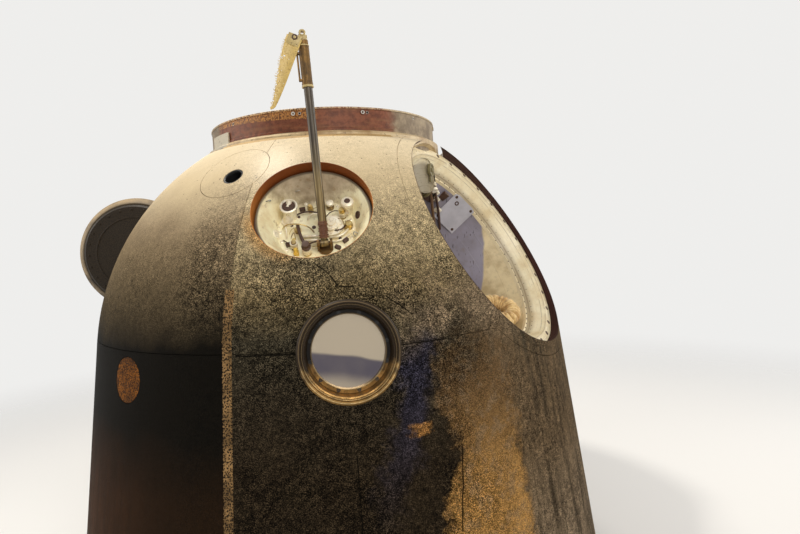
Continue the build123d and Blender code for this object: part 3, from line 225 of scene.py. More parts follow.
class Finish:
    """One procedural material: a Principled shader and the nodes that feed it."""

    def __init__(self, name, roughness=0.6, metallic=0.0, colour=(0.5, 0.5, 0.5)):
        self.material = bpy.data.materials.new(name)
        self.material.use_nodes = True
        tree = self.material.node_tree
        self.nodes, self.links = tree.nodes, tree.links
        self.shader = self.nodes["Principled BSDF"]
        self.place = self.add("TexCoord").outputs["Object"]
        split = self.add("SeparateXYZ", {"Vector": self.place}).outputs
        self.parts = {axis: Value(self, split[axis]) for axis in "XYZ"}
        self.set("Roughness", roughness)
        self.set("Metallic", metallic)
        self.set("Base Color", colour)

    def feed(self, socket, value):
        if isinstance(value, Value):
            value = value.socket
        if isinstance(value, bpy.types.NodeSocket):
            self.links.new(value, socket)
        elif socket.type == "RGBA" and len(value) == 3:
            socket.default_value = (*value, 1.0)
        else:
            socket.default_value = value

    def add(self, kind, inputs=None, **settings):
        node = self.nodes.new("ShaderNode" + kind)
        for key, value in settings.items():
            setattr(node, key, value)
        for socket, value in (inputs or {}).items():
            self.feed(node.inputs[socket], value)
        return node

    def value(self, output, kind, inputs, **settings):
        return Value(self, self.add(kind, inputs, **settings).outputs[output])

    def set(self, socket, value):
        self.feed(self.shader.inputs[socket], value)

    def math(self, operation, a, b=0.0):
        return self.value(0, "Math", {0: a, 1: b}, operation=operation)

    def most(self, a, b):
        return self.math("MAXIMUM", a, b)

    def noise(self, scale, detail=3.0, rough=0.6, vector=None):
        inputs = {"Vector": vector or self.place, "Scale": scale, "Detail": detail, "Roughness": rough}
        return self.value("Fac", "TexNoise", inputs)

    def stretched(self, scales, detail=3.0, rough=0.6, scale=1.0):
        """Noise with a scale for each axis."""
        vector = self.add("Mapping", {"Vector": self.place, "Scale": scales}).outputs[0]
        return self.noise(scale, detail, rough, vector)

    def noise_over(self, detail, rough, *coordinates):
        """Noise over up to three values of the material's own."""
        vector = self.add("CombineXYZ", dict(enumerate(coordinates))).outputs[0]
        return self.noise(1.0, detail, rough, vector)

    def cells(self, scale):
        return self.value("Distance", "TexVoronoi", {"Vector": self.place, "Scale": scale})

    def step(self, value, low, high):
        """Smooth rise from 0 at low to 1 at high; falls instead where low is above high."""
        rising = low < high
        ends = {"From Min": min(low, high), "From Max": max(low, high)}
        ends.update({"To Min": 0.0 if rising else 1.0, "To Max": 1.0 if rising else 0.0})
        return self.value(0, "MapRange", {"Value": value, **ends}, interpolation_type="SMOOTHSTEP")

    def window(self, value, low, high, soft):
        """1 between low and high, fading to 0 over soft on both sides."""
        return self.step(value, low - soft, low + soft) * self.step(value, high + soft, high - soft)

    def blend(self, share, a, b, kind="MIX"):
        return self.add("Mix", {0: share, 6: a, 7: b}, data_type="RGBA", blend_type=kind).outputs[2]

    def ramp(self, value, stops):
        node = self.add("ValToRGB", {"Fac": value})
        elements = node.color_ramp.elements
        while len(elements) < len(stops):
            elements.new(0.5)
        for element, (place, colour) in zip(elements, stops):
            element.position = place
            element.color = (*colour, 1.0)
        return node.outputs["Color"]

    def azimuth(self):
        """Degrees round the capsule from the front."""
        return self.math("ARCTAN2", self.parts["X"], self.parts["Y"] * -1.0) * (180 / math.pi)

    def along(self, place, column=2):
        """Coordinate along one axis of a frame."""
        moved = self.add("VectorMath", {0: self.place, 1: place.translation}, operation="SUBTRACT").outputs[0]
        return self.value("Value", "VectorMath", {0: moved, 1: place.col[column].to_3d()}, operation="DOT_PRODUCT")

    def off_axis(self, place):
        """Distance from the Z axis of a frame."""
        squares = [self.math("POWER", self.along(place, column), 2.0) for column in (0, 1)]
        return self.math("SQRT", squares[0] + squares[1])

    def bump(self, height, distance, strength=1.0, under=None):
        inputs = {"Height": height, "Distance": distance, "Strength": strength}
        if under is not None:
            inputs["Normal"] = under
        normal = self.add("Bump", inputs).outputs["Normal"]
        self.set("Normal", normal)
        return normal


def srgb(red, green, blue):
    """Linear colour of an 8-bit screen tone."""
    return tuple(((c / 255 + 0.055) / 1.055) ** 2.4 for c in (red, green, blue))


def dimmed(colour, share):
    return tuple(c * share for c in colour)


SMOOTH_BLACK = srgb(16, 13, 8)
WARM_BLACK = srgb(36, 24, 13)
CHAR = srgb(50, 41, 29)
SOOT = srgb(68, 62, 49)
SINGED = srgb(130, 113, 81)
DUST = srgb(180, 161, 120)
ASH = srgb(192, 173, 138)
ASH_PALE = srgb(212, 196, 165)
GREY_TAN = srgb(134, 116, 93)
OCHRE = srgb(206, 156, 88)
TAN = srgb(106, 88, 65)
BLUE_BLACK = srgb(50, 50, 70)
SPOT_ORANGE = srgb(168, 120, 66)
SCORCH_RED = srgb(70, 43, 24)
WELL_ORANGE = srgb(206, 132, 64)
WELL_DARK = srgb(126, 66, 28)
BAY_PURPLE = srgb(72, 48, 44)


def by_height(f, level, stops):
    """Tone by height up the capsule, from (height, colour) pairs."""
    low, span = 0.2, 1.7
    return f.ramp((level - low) * (1 / span), [((height - low) / span, colour) for height, colour in stops])


def stroke(f, azimuth, height, start, end, width):
    """Share of a straight tear between two places given by azimuth (degrees) and height (metres)."""
    across, rise = (end[0] - start[0]) * DEGREE_LENGTH, end[1] - start[1]
    length = math.hypot(across, rise)
    across, rise = across / length, rise / length
    u = (azimuth - start[0]) * DEGREE_LENGTH
    v = height - start[1]
    along = u * across + v * rise
    off = f.math("ABSOLUTE", u * rise - v * across)
    return f.step(off, width, width * 0.4) * f.window(along, 0.0, length, 0.003)


def cut_walls(f, tone, broad, well_off):
    """Cut edges of the heat protection: layers round the bay, orange turning dark round the well."""
    layers = f.noise_over(2.0, 0.5, f.along(BAY) * 210.0)
    bay_wall = f.blend(f.step(layers, 0.35, 0.65), srgb(54, 36, 32), BAY_PURPLE)
    bay_side, well_side = (f.step(f.along(place), 0.0, 0.1) for place in (BAY, WELL))
    tone = f.blend(bay_side * f.step(f.off_axis(BAY), BAY_R + 0.0022, BAY_R + 0.0006), tone, bay_wall)
    well_wall = f.blend(f.step(f.along(WELL, 1), -0.02, 0.15), WELL_ORANGE, WELL_DARK)
    well_wall = f.blend(broad * 0.4, well_wall, WELL_DARK)
    return f.blend(well_side * f.step(well_off, WELL_R + 0.0020, WELL_R + 0.0006), tone, well_wall)


def seams_and_tears(f, azimuth, height, mottle, broad):
    """Share of the upright seam, the level seam and the tears."""
    upright = f.window(azimuth, SEAM_2_AZ - 0.09, SEAM_2_AZ + 0.09, 0.05)
    upright = upright * f.step(height, SEAM_2_TOP_Z + 0.0035, SEAM_2_TOP_Z - 0.0035)
    level = f.window(mottle * 0.004 + height - 0.002, LEVEL_SEAM_Z - 0.002, LEVEL_SEAM_Z + 0.002, 0.0012)
    level = level * f.window(azimuth, *LEVEL_SEAM_ENDS, 1.5) * f.step(mottle, 0.34, 0.44)
    share = f.most(upright, level)
    wavy_az = broad * 1.6 + azimuth - 0.8
    wavy_z = mottle * 0.010 + height - 0.005
    for tear in TEARS:
        share = f.most(share, stroke(f, wavy_az, wavy_z, *tear))
    return share


def heat_protection():
    """Ash on the dome, fading through granular char to smooth black on the left of the cone."""
    f = Finish("charred_heat_protection")
    azimuth, height = f.azimuth(), f.parts["Z"]
    patchy = f.noise(3.2, 4.0, 0.55)
    broad = f.noise(7.0, 3.0, 0.5)
    mottle = f.noise(26.0, 4.0, 0.65)
    crumbs = f.cells(275.0)
    lumps = f.cells(70.0)
    grain = f.noise(400.0, 3.0, 0.65)
    threads = f.stretched((90.0, 90.0, 430.0))
    fine = f.noise(620.0, 2.0, 0.6)
    streaks = f.stretched((26.0, 26.0, 1.6))

    # Tone by height: granular middle and back, smooth left, grey right
    level = height + patchy * 0.15 + broad * 0.08 - 0.115
    middle = by_height(f, level, [(0.30, CHAR), (0.70, CHAR), (0.90, srgb(58, 50, 38)), (1.08, SOOT),
                                  (1.22, SINGED), (1.38, srgb(172, 154, 118)),
                                  (1.56, ASH), (1.78, ASH_PALE)])
    smooth = by_height(f, level, [(0.30, WARM_BLACK), (0.60, WARM_BLACK), (0.80, SMOOTH_BLACK), (1.06, SMOOTH_BLACK),
                                  (1.26, srgb(100, 86, 64)), (1.42, srgb(136, 118, 91)),
                                  (1.60, ASH), (1.78, ASH_PALE)])
    grey = by_height(f, level, [(0.30, GREY_TAN), (0.62, TAN), (1.00, TAN), (1.16, GREY_TAN), (1.34, DUST),
                                (1.54, ASH), (1.78, ASH_PALE)])
    drift = f.noise(5.0, 4.0, 0.65) * 16.0 - 8.0
    swayed = azimuth + drift
    left = f.step(azimuth, FILLER_AZ + 0.4, FILLER_AZ - 0.4) * f.step(swayed, -168.0, -135.0)
    smooth_low = left * f.step(level, 1.22, 1.02)
    right = f.step(swayed, 22.0, 32.0) * f.step(swayed, 168.0, 125.0)
    tone = f.blend(left, middle, smooth)
    tone = f.blend(right * f.step(streaks, 0.20, 0.60), tone, grey)

    # Light grains on dark, stronger where the char is granular
    relief = crumbs * -0.56 + grain * 0.60 + threads * 0.36 + lumps * -0.20 + mottle * 0.34 + 0.08

    # Ochre patch where the char has broken away, with ragged ends, and its blue-black edge
    ragged = f.noise(34.0, 4.0, 0.7) * 5.0 + f.noise(9.0, 3.0, 0.6) * 9.0 - 7.0
    rim_az = azimuth + ragged
    right_end = height * -1.5 + 34.5
    left_end = f.window(height, 0.62, 0.78, 0.10) * 4.0 + 16.3
    inside = f.step(rim_az - left_end, -1.0, 1.2) * f.step(rim_az - right_end, 1.5, -1.5)
    patch = inside * f.step(mottle * 0.30 + level, 1.26, 1.00)
    pits = f.step(crumbs, 0.62, 0.36)
    bare = f.blend(f.step(level, 0.92, 0.46), srgb(126, 98, 64), OCHRE)
    bare = f.blend(f.step(mottle, 0.46, 0.62) * 0.5, bare, GREY_TAN)
    tone = f.blend(patch * (pits * 0.30 + 0.66), tone, bare)
    blue_az = rim_az - (height * 17.0 - 3.2)
    blue = f.window(blue_az, -2.6, 2.6, 1.6) * f.window(height, 0.45, 1.10, 0.10)
    blue = blue * f.step(height, 0.45, 1.00)
    tone = f.blend(blue * 0.72, tone, BLUE_BLACK)
    spot_edge = mottle * 0.030 + height - 0.015
    spot = f.window(rim_az, 10.6, 14.6, 0.8) * f.window(spot_edge, 0.776, 0.812, 0.006)
    tone = f.blend(spot * f.step(grain, 0.36, 0.50), tone, SPOT_ORANGE)

    # Grey shoulder between the window and the bay
    shoulder = f.window(rim_az, 11.0, 30.0, 4.0) * f.window(level, 1.06, 1.24, 0.06)
    tone = f.blend(shoulder * f.step(broad, 0.30, 0.60), tone, srgb(134, 116, 92))

    # Reddish char low on the left
    red = f.window(azimuth, -105.0, -42.0, 12.0) * f.step(level, 0.82, 0.44)
    tone = f.blend(red * f.step(streaks, 0.05, 0.95), tone, SCORCH_RED)

    # Scorch at the well's left, soot below it
    well_off = f.off_axis(WELL)
    scorch = f.step(azimuth, -6.0, -10.0) * f.window(height, 1.30, 1.46, 0.04)
    scorch = scorch * f.step(well_off, 0.240, 0.200)
    tone = f.blend(scorch * 0.80, tone, srgb(176, 136, 84))
    soot = f.step(well_off, 0.30, 0.20) * f.step(height, 1.38, 1.28)
    tone = f.blend(soot * 0.45, tone, SOOT)

    # The grain multiplies the tone, dark between the crumbs
    far_left = f.step(azimuth, -25.0, -33.0) * f.step(azimuth, -172.0, -140.0)
    granular = f.step(height, 1.64, 1.18) * 0.88 + 0.10
    granular = granular * (f.step(f.noise(5.5, 3.0, 0.6), 0.36, 0.62) * 0.55 + 0.66)
    for share, less in ((smooth_low, 0.70), (far_left, 0.62), (right, 0.40), (patch, 0.50)):
        granular = granular * (share * -less + 1.0)
    power = (relief - 0.40) * granular * 3.3
    shade = f.math("MINIMUM", f.math("POWER", 10.0, power), 3.6)
    tone = f.blend(1.0, tone, shade, "MULTIPLY")
    specks = f.step(f.cells(38.0), 0.13, 0.07) * f.step(height, 1.10, 1.50)
    tone = f.blend(specks * 0.75, tone, SOOT)

    tone = cut_walls(f, tone, broad, well_off)
    crack = seams_and_tears(f, azimuth, height, mottle, broad)
    f.set("Base Color", f.blend(crack * 0.9, tone, SMOOTH_BLACK))

    # Gloss: the ash has a thin satin glaze, the char next to none
    f.set("Specular IOR Level", 0.03)
    f.set("Coat Roughness", 0.42)
    f.set("Coat Weight", f.step(height, 1.34, 1.60) * (fine * -0.4 + 0.55))
    f.set("Roughness", fine * 0.15 + smooth_low * -0.15 + 0.72)
    coarse = f.bump(relief * granular, 0.0085)
    gouges = f.window(azimuth, -12.0, 16.0, 3.0) * f.window(height, 1.13, 1.26, 0.02)
    gouged = f.bump(f.step(lumps, 0.50, 0.25) * gouges, 0.006, 1.0, coarse)
    pitted = f.bump(pits * patch, 0.002, 1.0, gouged)
    cracked = f.bump(crack * -1.0, 0.003, 1.0, pitted)
    f.bump(fine * 0.6 + streaks * 0.8, 0.0006, 1.0, cracked)
    return f.material


def crumbled(name, dark, light, grain_scale, cover):
    """Broken granular filler or plug: pale grains in dark pits."""
    f = Finish(name, roughness=0.88)
    f.set("Specular IOR Level", 0.15)
    grain = f.noise(grain_scale, 3.0, 0.7)
    pits = f.cells(grain_scale * 0.75)
    mixed = grain * 0.7 + pits * 0.45
    tint = f.blend(f.step(f.noise(17.0, 4.0, 0.7), 0.36, 0.64), light, dimmed(light, 0.42))
    f.set("Base Color", f.blend(f.step(mixed, *cover), dark, tint))
    f.bump(mixed, 0.003)
    return f.material


def worn_metal(name, colour, stain, roughness, scale=9.0, brushed=(1.0, 1.0, 1.0)):
    """Bare metal with stains, fine brushing and small scratches."""
    f = Finish(name, metallic=1.0)
    blotch = f.noise(scale, 5.0, 0.65)
    lines = f.stretched(brushed, scale=60.0)
    fine = f.noise(600.0, 2.0)
    share = f.step(lines * 0.4 + blotch * 0.75, 0.45, 0.75)
    f.set("Base Color", f.blend(share, colour, stain))
    f.set("Metallic", share * -0.55 + 0.98)
    f.set("Roughness", share * 0.25 + lines * 0.18 + (roughness - 0.08))
    f.bump(fine * 0.3 + lines, 0.0004, 0.6)
    return f.material


def aged_paint(name, colour, under, roughness, wear=(0.66, 0.74), scale=14.0, metal=0.0, gloss=0.4):
    """Old paint, dulled in blotches and chipped through in small spots."""
    f = Finish(name)
    f.set("Specular IOR Level", gloss)
    blotch = f.noise(scale, 5.0, 0.6)
    chips = f.step(f.noise(scale * 6.0, 4.0, 0.7), *wear)
    fine = f.noise(700.0, 2.0)
    dulled = f.blend(f.step(blotch, 0.35, 0.75) * 0.5, colour, dimmed(colour, 0.62))
    f.set("Base Color", f.blend(chips, dulled, under))
    f.set("Metallic", chips * metal)
    f.set("Roughness", blotch * 0.22 + (roughness - 0.08))
    f.bump(chips * -0.8 + fine * 0.25, 0.0006, 0.8)
    return f.material


def hatch_ring_finish():
    """Burnt paint in bands on the hatch frame: orange-brown over maroon, bare metal to the right."""
    f = Finish("hatch_ring_burnt_paint")
    azimuth, height = f.azimuth(), f.parts["Z"]
    blotch = f.noise(16.0, 5.0, 0.65)
    speckle = f.noise(170.0, 3.0, 0.7)
    brushed = f.stretched((7.0, 7.0, 60.0))
    orange = f.blend(f.step(speckle, 0.40, 0.60), srgb(92, 54, 28), srgb(190, 132, 70))
    maroon = f.blend(f.step(f.noise(46.0, 5.0, 0.7), 0.36, 0.64), srgb(92, 48, 28), srgb(126, 72, 46))
    maroon = f.blend(f.step(brushed, 0.45, 0.70) * 0.35, maroon, srgb(136, 96, 62))
    bare = f.blend(f.step(blotch, 0.38, 0.66), srgb(112, 94, 70), srgb(160, 142, 114))
    edge = (azimuth + 8.6) * -0.00036 + blotch * 0.008 + 1.8130
    upper = f.step(height - edge, -0.0010, 0.0010) * f.step(azimuth, -2.0, -5.0)
    tone = f.blend(upper, maroon, orange)
    wandered = blotch * 12.0 + azimuth - 6.0
    tone = f.blend(f.most(f.step(wandered, 29.0, 36.0), f.step(azimuth, -56.0, -62.0)), tone, bare)
    rubbed = f.step(height, RING_TOP_Z - 0.009, RING_TOP_Z - 0.004) * f.step(speckle, 0.40, 0.56)
    tone = f.blend(rubbed * 0.75, tone, srgb(190, 172, 140))
    inner = f.step(f.off_axis(UPRIGHT), RING_R - 0.006, RING_R - 0.012)
    tone = f.blend(inner, tone, bare)
    f.set("Base Color", tone)
    f.set("Metallic", f.most(rubbed * 0.5, inner * 0.6))
    f.set("Roughness", speckle * 0.30 + 0.36)
    f.set("Specular IOR Level", 0.3)
    f.bump(brushed * 0.4 + speckle, 0.0012, 0.9)
    return f.material


def step_finish():
    """Cream paint of the step round the hatch frame, bleached on the pad."""
    f = Finish("ring_step_cream_paint", roughness=0.45)
    azimuth = f.azimuth()
    blotch = f.noise(15.0, 5.0, 0.65)
    chips = f.step(f.noise(80.0, 4.0, 0.7), 0.58, 0.68)
    cream = f.blend(f.step(blotch, 0.36, 0.68), srgb(206, 184, 142), srgb(160, 130, 88))
    pad = f.window(azimuth, -65.5, -48.5, 0.2)
    tone = f.blend(pad, cream, srgb(188, 178, 156))
    f.set("Base Color", f.blend(chips * 0.7, tone, srgb(92, 62, 40)))
    f.bump(chips * -0.6 + blotch, 0.0008, 0.8)
    return f.material


def liner_finish():
    """Painted sheet of the parachute container: lavender to the left, partly painted bluish reflected light, cream to
    the right, dark strokes.
    """
    f = Finish("bay_liner_paint", roughness=0.40)
    depth, up = f.along(BAY), f.along(BAY, 1)
    blotch = f.noise(8.0, 4.0, 0.6)
    wandered = blotch * 0.03 + up * -0.55 + depth
    # The lavender on the left is partly painted bluish light reflected from the room
    lavender = f.blend(f.step(f.noise(5.0, 4.0, 0.6), 0.30, 0.72), srgb(146, 141, 156), srgb(118, 111, 118))
    cream = f.blend(f.step(blotch, 0.36, 0.66), srgb(226, 208, 166), srgb(182, 160, 118))
    tone = f.blend(f.step(wandered, LINER_EDGE - 0.006, LINER_EDGE + 0.006), lavender, cream)
    smudged = f.step(f.noise(40.0, 5.0, 0.7), 0.52, 0.72) * 0.30
    tone = f.blend(smudged, tone, srgb(128, 112, 92))
    strokes = f.step(f.stretched((150.0, 24.0, 24.0), 2.0, 0.5), 0.64, 0.68)
    strokes = strokes * f.step(wandered, LINER_EDGE + 0.01, LINER_EDGE - 0.02)
    tone = f.blend(strokes * 0.8, tone, srgb(44, 38, 40))
    f.set("Base Color", tone)
    f.set("Roughness", blotch * 0.2 + 0.30)
    f.bump(up * 2.0 + f.noise(30.0, 4.0, 0.6), 0.0015, 0.5)
    return f.material


def flange_finish():
    """Cream paint of the bay's flange and throat: rubbed bright, dirty in streaks round it, with painted shade towards
    the throat's inner edge.
    """
    f = Finish("bay_flange_cream_paint", roughness=0.34)
    off = f.off_axis(BAY)
    blotch = f.noise(9.0, 5.0, 0.65)
    round_streaks = f.noise_over(3.0, 0.6, off * 150.0, f.along(BAY) * 60.0, blotch * 3.0)
    cream = f.blend(f.step(blotch, 0.34, 0.70), srgb(255, 244, 210), srgb(228, 208, 164))
    dirty = f.step(round_streaks, 0.50, 0.72) * 0.65
    tone = f.blend(dirty, cream, srgb(140, 118, 86))
    # Painted shade: darker towards the throat's inner edge
    inner = f.step(off, BAY_NECK_R + 0.016, BAY_NECK_R + 0.004) * 0.6
    tone = f.blend(inner, tone, srgb(128, 110, 84))
    chips = f.step(f.noise(90.0, 4.0, 0.7), 0.66, 0.72)
    f.set("Base Color", f.blend(chips * 0.7, tone, srgb(84, 66, 48)))
    f.set("Roughness", blotch * 0.22 + 0.22)
    f.bump(chips * -0.8 + round_streaks * 0.6, 0.0006, 0.8)
    return f.material


def canvas(name, colour, soil_and_thread_shade):
    """Woven canvas: two crossed thread waves, darker between the threads as painted shade, with soiling in blotches.
    """
    f = Finish(name, roughness=0.92)
    f.set("Sheen Weight", 0.25)
    f.set("Sheen Roughness", 0.5)
    f.set("Specular IOR Level", 0.2)
    waves = []
    for direction in "XZ":
        inputs = {"Vector": f.place, "Scale": 165.0, "Distortion": 0.5, "Detail": 1.0}
        waves.append(f.add("TexWave", inputs, wave_type="BANDS", bands_direction=direction).outputs["Fac"])
    weave = f.most(*waves)
    dirt = f.noise(30.0, 5.0, 0.65)
    tone = f.blend(f.step(dirt, 0.36, 0.68), colour, soil_and_thread_shade)
    # Painted shade: darker between the threads of the weave
    f.set("Base Color", f.blend(weave * 0.35 + 0.65, soil_and_thread_shade, tone))
    f.bump(weave, 0.0006, 0.7)
    return f.material


def glass_with_painted_reflection(name, tint, mirror, metallic):
    """Thick pane with a painted reflection: a pale reflected tone, darker in a band across its middle like a mirrored
    horizon.
    """
    f = Finish(name)
    bend = f.stretched((5.0, 5.0, 4.0), 2.0, 0.4)
    # Painted reflection: pale above a tilted horizon line and again further below it, darker in the band between
    reflected_horizon_level = bend * 0.05 + f.parts["X"] * 0.16 + f.parts["Z"]
    above = f.step(reflected_horizon_level, *PANE_REFLECTED_HORIZON_Z)
    below = f.step(reflected_horizon_level, PANE_REFLECTED_HORIZON_Z[0] - 0.040, PANE_REFLECTED_HORIZON_Z[0] - 0.085) * 0.75
    share = f.most(above, below)
    smear_and_reflection_patch = f.noise(11.0, 4.0, 0.6)
    dust = f.step(f.noise(130.0, 3.0, 0.7), 0.56, 0.72)
    f.set("Roughness", smear_and_reflection_patch * 0.08 + dust * 0.20 + 0.02)
    f.set("Metallic", metallic)
    tone = f.blend(share, tint, mirror)
    # Smears also carry patches of the painted reflection
    f.set("Base Color", f.blend(smear_and_reflection_patch * 0.25, tone, mirror))
    f.set("Specular IOR Level", 0.8)
    f.bump(f.noise(2.5, 2.0), 0.003, 0.3)
    return f.material


def turned_metal(name, bright, shade, roughness, metallic):
    """Pale plated metal of the well, dulled in blotches, with a fine turned grain."""
    f = Finish(name, metallic=metallic)
    blotch = f.noise(20.0, 5.0, 0.65)
    fine = f.noise(420.0, 2.0, 0.6)
    smudge = f.step(f.noise(70.0, 4.0, 0.7), 0.54, 0.72)
    tone = f.blend(f.step(blotch, 0.36, 0.70), bright, shade)
    f.set("Base Color", f.blend(smudge * 0.55, tone, srgb(124, 102, 70)))
    f.set("Roughness", blotch * 0.25 + (roughness - 0.06))
    f.bump(fine * 0.4 + smudge, 0.0003, 0.6)
    return f.material


def cup_finish():
    """Spun cup of the antenna well: cream and bright at its sides, greyer towards the top, stained at its rim."""
    f = Finish("well_cup_spun_metal", metallic=0.10)
    up = f.along(WELL, 1)
    off = f.off_axis(WELL)
    blotch = f.noise(16.0, 5.0, 0.65)
    rings = f.noise_over(2.0, 0.6, off * 240.0)
    cream = f.blend(f.step(blotch, 0.36, 0.68), srgb(255, 250, 216), srgb(236, 220, 176))
    grey = f.blend(f.step(blotch, 0.36, 0.68), srgb(188, 172, 146), srgb(150, 134, 108))
    wandered = blotch * 0.09 + up
    tone = f.blend(f.step(wandered, 0.120, 0.190), cream, grey)
    tone = f.blend(f.step(off, 0.1775, 0.1815) * 0.85, tone, srgb(70, 52, 36))
    stain = f.step(f.noise(46.0, 5.0, 0.7), 0.56, 0.7) * 0.55
    f.set("Base Color", f.blend(stain, tone, srgb(142, 112, 66)))
    f.set("Roughness", blotch * 0.24 + 0.24)
    f.bump(rings, 0.0004, 0.7)
    return f.material


def mast_finish():
    """Rolled tape of the mast: brass-olive near its foot, greyer above, with lines along it and painted shade down one
    side.
    """
    f = Finish("mast_rolled_tape", metallic=0.40)
    along, side = f.along(mast_frame()), f.along(mast_frame(), 0)
    blotch = f.noise(22.0, 5.0, 0.65)
    lines = f.stretched((240.0, 240.0, 3.0))
    low = f.blend(f.step(lines, 0.36, 0.64), srgb(134, 114, 72), srgb(84, 68, 38))
    high = f.blend(f.step(lines, 0.36, 0.64), srgb(82, 72, 56), srgb(46, 38, 29))
    tone = f.blend(f.step(blotch * 0.16 + along, 0.20, 0.44), low, high)
    # Painted shade down one side of the tube
    tone = f.blend(f.step(side, -0.0085, -0.0130) * 0.75, tone, srgb(44, 34, 22))
    tone = f.blend(f.window(side, 0.0100, 0.0120, 0.0008) * 0.80, tone, srgb(40, 32, 22))
    f.set("Base Color", tone)
    f.set("Roughness", blotch * 0.25 + 0.26)
    f.bump(lines, 0.0004, 0.7)
    return f.material


def window_metal(name, bronze, black, roughness):
    """Metal of the window frame, rubbed to bronze at the bottom and dark at the top, partly from soot and partly
    painted shade where the recess faces down.
    """
    f = Finish(name)
    height = f.parts["Z"]
    blotch = f.noise(24.0, 5.0, 0.65)
    fine = f.noise(260.0, 3.0, 0.7)
    # Painted shade with soot: dark above the window's middle, where the inner faces look down
    share = f.step(blotch * 0.14 + height, 1.010, 1.080)
    share = f.most(share, f.step(fine, 0.52, 0.64) * 0.6)
    tone = f.blend(share, f.blend(f.step(blotch, 0.35, 0.65), bronze, dimmed(bronze, 0.5)), black)
    f.set("Base Color", tone)
    f.set("Metallic", share * -0.80 + 0.90)
    f.set("Specular IOR Level", 0.12)
    f.set("Roughness", blotch * 0.25 + roughness)
    f.bump(fine * 0.5 + blotch, 0.0008, 0.8)
    return f.material


def fairing_finish():
    """Periscope housing: charred face and drum, pale along the upper rim, partly pale paint and partly painted light
    where the rim faces up.
    """
    f = Finish("periscope_fairing_charred")
    off = f.off_axis(turned(Matrix.Translation(SCOPE_PLACE), 90, "X"))
    blotch = f.noise(10.0, 5.0, 0.65)
    fine = f.noise(240.0, 3.0, 0.7)
    dark = f.blend(f.step(fine, 0.38, 0.62), srgb(26, 20, 13), srgb(50, 40, 27))
    # Painted light with pale paint: the rim is pale only on its upper side
    upper_rim_paint_and_light = f.step(f.parts["Z"] * 0.9 + blotch, 1.44, 1.82)
    rim = f.step(off, 0.200, 0.224) * upper_rim_paint_and_light
    f.set("Base Color", f.blend(rim * f.step(blotch, 0.20, 0.62), dark, srgb(158, 138, 108)))
    f.set("Specular IOR Level", 0.2)
    f.set("Roughness", blotch * 0.30 + 0.42)
    f.bump(fine * 0.7 + blotch, 0.0012, 0.8)
    return f.material


